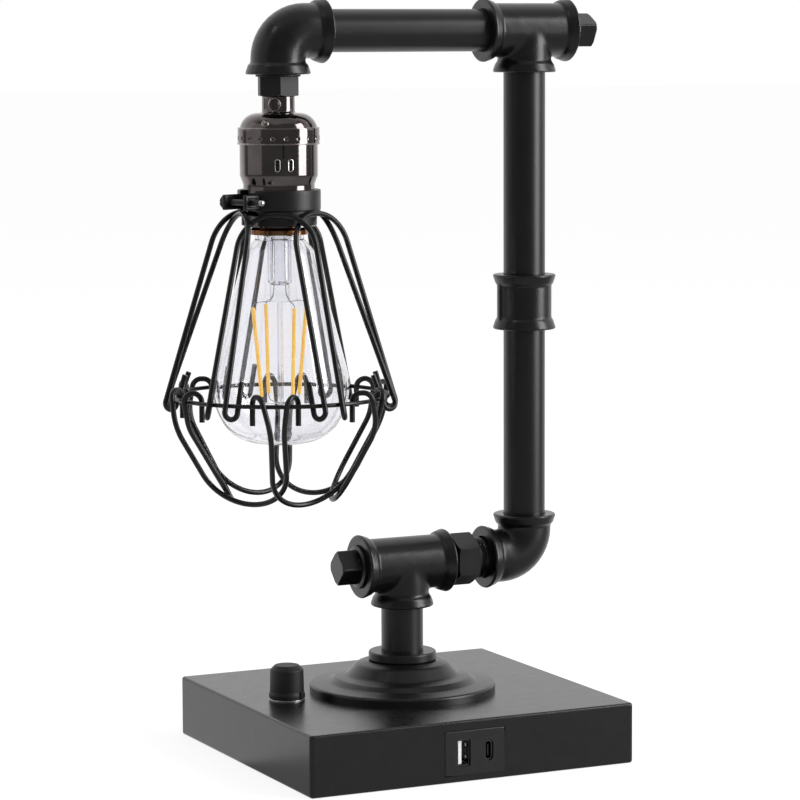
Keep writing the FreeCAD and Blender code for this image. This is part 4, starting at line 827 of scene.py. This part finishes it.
# a helix of thread about X, from a start in mm over a number of turns
def threadHelix(bm, start, turns, up):
    look = threads
    half = look["pitch"] / 2
    corners = [(start - half, look["root"]), (start, look["crest"]), (start + half, look["root"])]
    verts = [bm.verts.new((across * mm, 0, (up + radius) * mm)) for across, radius in corners]
    edges = [bm.edges.new((verts[i], verts[(i + 1) % 3])) for i in range(3)]
    steps = round(turns * look["stepsPerTurn"])
    bmesh.ops.spin(bm, geom=verts + edges, cent=(0, 0, up * mm), axis=(1, 0, 0),
                   dvec=(look["pitch"] / look["stepsPerTurn"] * mm, 0, 0), angle=turns * 2 * math.pi,
                   steps=steps, use_merge=False, use_duplicate=False)
    bmesh.ops.holes_fill(bm, edges=bm.edges, sides=3)
    bmesh.ops.recalc_face_normals(bm, faces=bm.faces)


def makeNipple():
    look = nippleHexagon
    nipple = mergedCopy("hex_nipple")
    for vert in nipple.verts:
        along = vert.co.x / mm - look["blankMiddle"]
        onHexagon = max(-1, min(1, along / look["blankHalf"]))
        pastEnd = along - onHexagon * look["blankHalf"]
        if abs(pastEnd) > look["neckLong"]:
            continue
        vert.co.x = (look["middle"] + onHexagon * look["half"] + pastEnd) * mm
        fromAxis = Vector((0, vert.co.y, vert.co.z - threads["nippleUp"] * mm))
        if abs(pastEnd) > look["endRing"] and fromAxis.length > look["neck"] * mm:
            vert.co -= fromAxis * (1 - look["neck"] * mm / fromAxis.length)
    finishPiece("hex_nipple_cut", nipple, "base", "enamelledCastIronBlack", ["hex_nipple"],
                sharpAngle=look["sharpAngle"])


def makeThreads():
    bm = bmesh.new()
    for start, long in threads["bareStretches"]:
        threadHelix(bm, start, long / threads["pitch"], threads["nippleUp"])
    finishPiece("nipple_threads", bm, "base", "enamelledCastIronBlack")


makeNipple()
makeThreads()
print("threads made")

# moulded charging panel: flush with the wall, rolled off along its left and top edges, with a shallow
# recess round each port
chargingPanel = {
    "low": (-17.05, 3.55), "high": (15.85, 25.85), "front": -82.76, "back": -81.85, "rolled": 0.8,
    "rolledSegments": 10, "cornerRound": 1.1, "cornerSegments": 8, "nearly": 0.01, "cutPast": 1,
    "middle": 14.7, "recessEnd": -81.8, "sharpAngle": 4,
    "recesses": ((-6.4, 7.0, 13.4, 1.0), (7.2, 4.7, 10.3, 2.3)),
}


# a plate from one depth to another whose four corners are rounded as seen from the front
def roundedPlate(across, up, wide, tall, bend, start, end):
    plate = addBlock(bmesh.new(), (wide, end - start, tall), (across, (start + end) / 2, up))
    corners = [edge for edge in plate.edges
               if abs((edge.verts[0].co - edge.verts[1].co).y) > (end - start) / 2 * mm]
    return roundEdges(plate, bend, chargingPanel["cornerSegments"], corners)


def makeChargingPanel():
    look = chargingPanel
    (left, low), (right, high) = look["low"], look["high"]
    plate = roundedPlate((left + right) / 2, (low + high) / 2, right - left, high - low,
                         look["cornerRound"], look["front"], look["back"])
    front = look["front"] + look["nearly"]
    side, top = left + look["cornerRound"] + look["nearly"], high - look["cornerRound"] - look["nearly"]
    rolled = [edge for edge in plate.edges
              if all(vert.co.y < front * mm and (vert.co.x < side * mm or vert.co.z > top * mm)
                     for vert in edge.verts)]
    roundEdges(plate, look["rolled"], look["rolledSegments"], rolled)
    panel = carve(mergedCopy("usb_panel"), plate, "UNION")
    for across, wide, tall, bend in look["recesses"]:
        panel = carve(panel, roundedPlate(across, look["middle"], wide, tall, bend,
                                          look["front"] - look["cutPast"], look["recessEnd"]))
    finishPiece("usb_panel_moulded", panel, "base", "mouldedPanelBlack", ["usb_panel"],
                sharpAngle=look["sharpAngle"])


makeChargingPanel()
print("charging panel made")

# the larger port: sprung contacts beside the tongue, and a dark back behind them
usbPort = {
    "front": -81.6, "contactAcross": -4.6, "contactHeights": (12.2, 18.1), "contactWide": 0.35,
    "contactTall": 1.5, "contactLong": 1.6, "backWide": 3.2, "backTall": 11.6, "backAcross": -5.3,
    "backPlace": -71.0, "middle": 14.7, "backWall": 0.3, "contactRound": 0.1,
    "contactSegments": 2,
}


def makePortTrim():
    look = usbPort
    contacts = bmesh.new()
    for height in look["contactHeights"]:
        addBlock(contacts, (look["contactWide"], look["contactLong"], look["contactTall"]),
                 (look["contactAcross"], look["front"] + look["contactLong"], height))
    roundEdges(contacts, look["contactRound"], look["contactSegments"])
    finishPiece("usb_a_contacts", contacts, "base", "bareNickelEdge")
    back = addBlock(bmesh.new(), (look["backWide"], look["backWall"], look["backTall"]),
                    (look["backAcross"], look["backPlace"], look["middle"]))
    finishPiece("usb_a_back", back, "base", "mouldedAbsBlack")


makePortTrim()
print("port trim made")

# white backdrop behind, a dim room in front, a tall softbox at the right, dim ones above and at the left,
# and a small bright one high at the left; in reflections the floor shows a painted pool of light
studio = {
    "floorSize": 40.0, "floorColour": "#f2f2f2", "floorWhite": 0.82, "floorShare": 0.36,
    "worldLight": 0.5, "roomGloss": 0.15, "backdropGloss": 1.0, "backdropSide": (0.418, 0.873, -0.25),
    "glossFrom": -0.35, "glossTo": 0.5, "groundCentre": (-0.17, 0.0, 0.0),
    "groundFrom": 0.35, "groundTo": 0.6, "paintedPoolNear": 0.42, "paintedPoolFar": 0.15, "paintedPoolReach": (0.5, 1.5),
    "keyPlace": (1.45, -1.23, 1.0), "keySize": (0.9, 2.0), "keyPower": 39, "keyAim": (0, 0, 1.0),
    "accentPlace": (-1.32, -0.28, 1.9), "accentSize": (0.22, 0.22), "accentPower": 1.2,
    "accentAim": (-0.07, 0, 0.3),
    "topPlace": (0.0, -0.2, 2.2), "topSize": (2.4, 2.4), "topPower": 4.5, "topAim": (0, 0, 0.2),
    "fillPlace": (-2.2, 0.4, 1.0), "fillSize": (2.4, 2.0), "fillPower": 5, "fillAim": (0, 0, 0.2),
    "cameraPlace": (-0.7070, -1.4715, 0.3606), "azimuth": -25.64, "pitch": 6.34, "roll": -0.23,
    "lens": 146.26, "sensor": 36,
}


# the rays that see the white ground itself rather than the light on it
def seenDirectly(tree):
    path = addNode(tree, "LightPath")
    either = addNode(tree, "Math", {0: path.outputs["Is Camera Ray"], 1: path.outputs["Is Transmission Ray"]},
                     operation="MAXIMUM")
    return path, either.outputs[0]


# share of the backdrop's white by how far a place or a direction lies towards it
def towardsBackdrop(tree, vector, low, high, dim):
    towards = addNode(tree, "VectorMath", {0: vector, 1: studio["backdropSide"]}, operation="DOT_PRODUCT")
    return addNode(tree, "MapRange", {"Value": towards.outputs["Value"], "From Min": low, "From Max": high,
                                      "To Min": dim, "To Max": studio["backdropGloss"]},
                   interpolation_type="SMOOTHSTEP").outputs[0]


def makeFloor():
    bm = bmesh.new()
    bmesh.ops.create_grid(bm, x_segments=1, y_segments=1, size=studio["floorSize"] / 2)
    floor = meshObject("floor", bm)
    material = newMaterial("paleFloor")
    tree = material.node_tree
    path, direct = seenDirectly(tree)
    # glossy rays see a painted pool of light on the floor: brighter near the lamp, dimmer further out, whiter
    # towards the backdrop
    place = addNode(tree, "TexCoord")
    away = addNode(tree, "VectorMath", {0: place.outputs["Object"], 1: studio["groundCentre"]},
                   operation="SUBTRACT")
    reach = addNode(tree, "VectorMath", {0: away.outputs[0]}, operation="LENGTH")
    near, far = studio["paintedPoolReach"]
    dim = addNode(tree, "MapRange", {"Value": reach.outputs["Value"], "From Min": near, "From Max": far,
                                     "To Min": studio["paintedPoolNear"], "To Max": studio["paintedPoolFar"]})
    heading = addNode(tree, "VectorMath", {0: away.outputs[0]}, operation="NORMALIZE")
    paintedFloorLight = towardsBackdrop(tree, heading.outputs[0], studio["groundFrom"], studio["groundTo"],
                               dim.outputs[0])
    gloss = addNode(tree, "Math", {0: path.outputs["Is Glossy Ray"], 1: paintedFloorLight}, operation="MULTIPLY")
    white = addNode(tree, "Mix", {"Factor": direct, "A": gloss.outputs[0], "B": studio["floorWhite"]})
    lit = addNode(tree, "Mix", {"Factor": path.outputs["Is Glossy Ray"], "A": 1.0, "B": 0.0})
    share = addNode(tree, "Mix", {"Factor": direct, "A": lit.outputs[0], "B": studio["floorShare"]})
    pale = addNode(tree, "VectorMath", {0: hexColour(studio["floorColour"])[:3], "Scale": share.outputs[0]},
                   operation="SCALE")
    matt = addNode(tree, "BsdfDiffuse", {"Color": pale.outputs[0]})
    ground = addNode(tree, "Emission", {"Color": (1, 1, 1, 1), "Strength": white.outputs[0]})
    both = addNode(tree, "AddShader", {0: matt.outputs[0], 1: ground.outputs[0]})
    floor.data.materials.append(setSurface(material, both))


def makeWorld():
    world = bpy.data.worlds.new("studio")
    bpy.context.scene.world = world
    world.use_nodes = True
    tree = world.node_tree
    tree.nodes.clear()
    path, direct = seenDirectly(tree)
    direction = addNode(tree, "TexCoord")
    gloss = towardsBackdrop(tree, direction.outputs["Generated"], studio["glossFrom"], studio["glossTo"],
                            studio["roomGloss"])
    light = addNode(tree, "Mix", {"Factor": path.outputs["Is Glossy Ray"], "A": studio["worldLight"],
                                  "B": gloss})
    strength = addNode(tree, "Mix", {"Factor": direct, "A": light.outputs[0], "B": 1.0})
    sky = addNode(tree, "Background", {"Color": (1, 1, 1, 1), "Strength": strength.outputs[0]})
    output = addNode(tree, "OutputWorld")
    tree.links.new(sky.outputs[0], output.inputs["Surface"])


def makeLamp(name):
    lamp = bpy.data.lights.new(name, "AREA")
    lamp.shape = "RECTANGLE"
    lamp.size, lamp.size_y = studio[name + "Size"]
    lamp.energy = studio[name + "Power"]
    item = addObject(name, lamp)
    item.location = studio[name + "Place"]
    item.rotation_euler = (Vector(studio[name + "Aim"]) - item.location).to_track_quat("-Z", "Y").to_euler()


def makeCamera():
    camera = bpy.data.cameras.new("camera")
    camera.lens, camera.sensor_width = studio["lens"], studio["sensor"]
    item = addObject("camera", camera)
    turn = turned(studio["azimuth"], "Z") @ turned(90 - studio["pitch"], "X") @ turned(studio["roll"], "Z")
    item.matrix_world = Matrix.Translation(studio["cameraPlace"]) @ turn
    bpy.context.scene.camera = item


makeFloor()
makeWorld()
for lampName in ("key", "top", "fill", "accent"):
    makeLamp(lampName)
makeCamera()
bpy.context.scene.view_settings.view_transform = "Standard"
print("studio made")
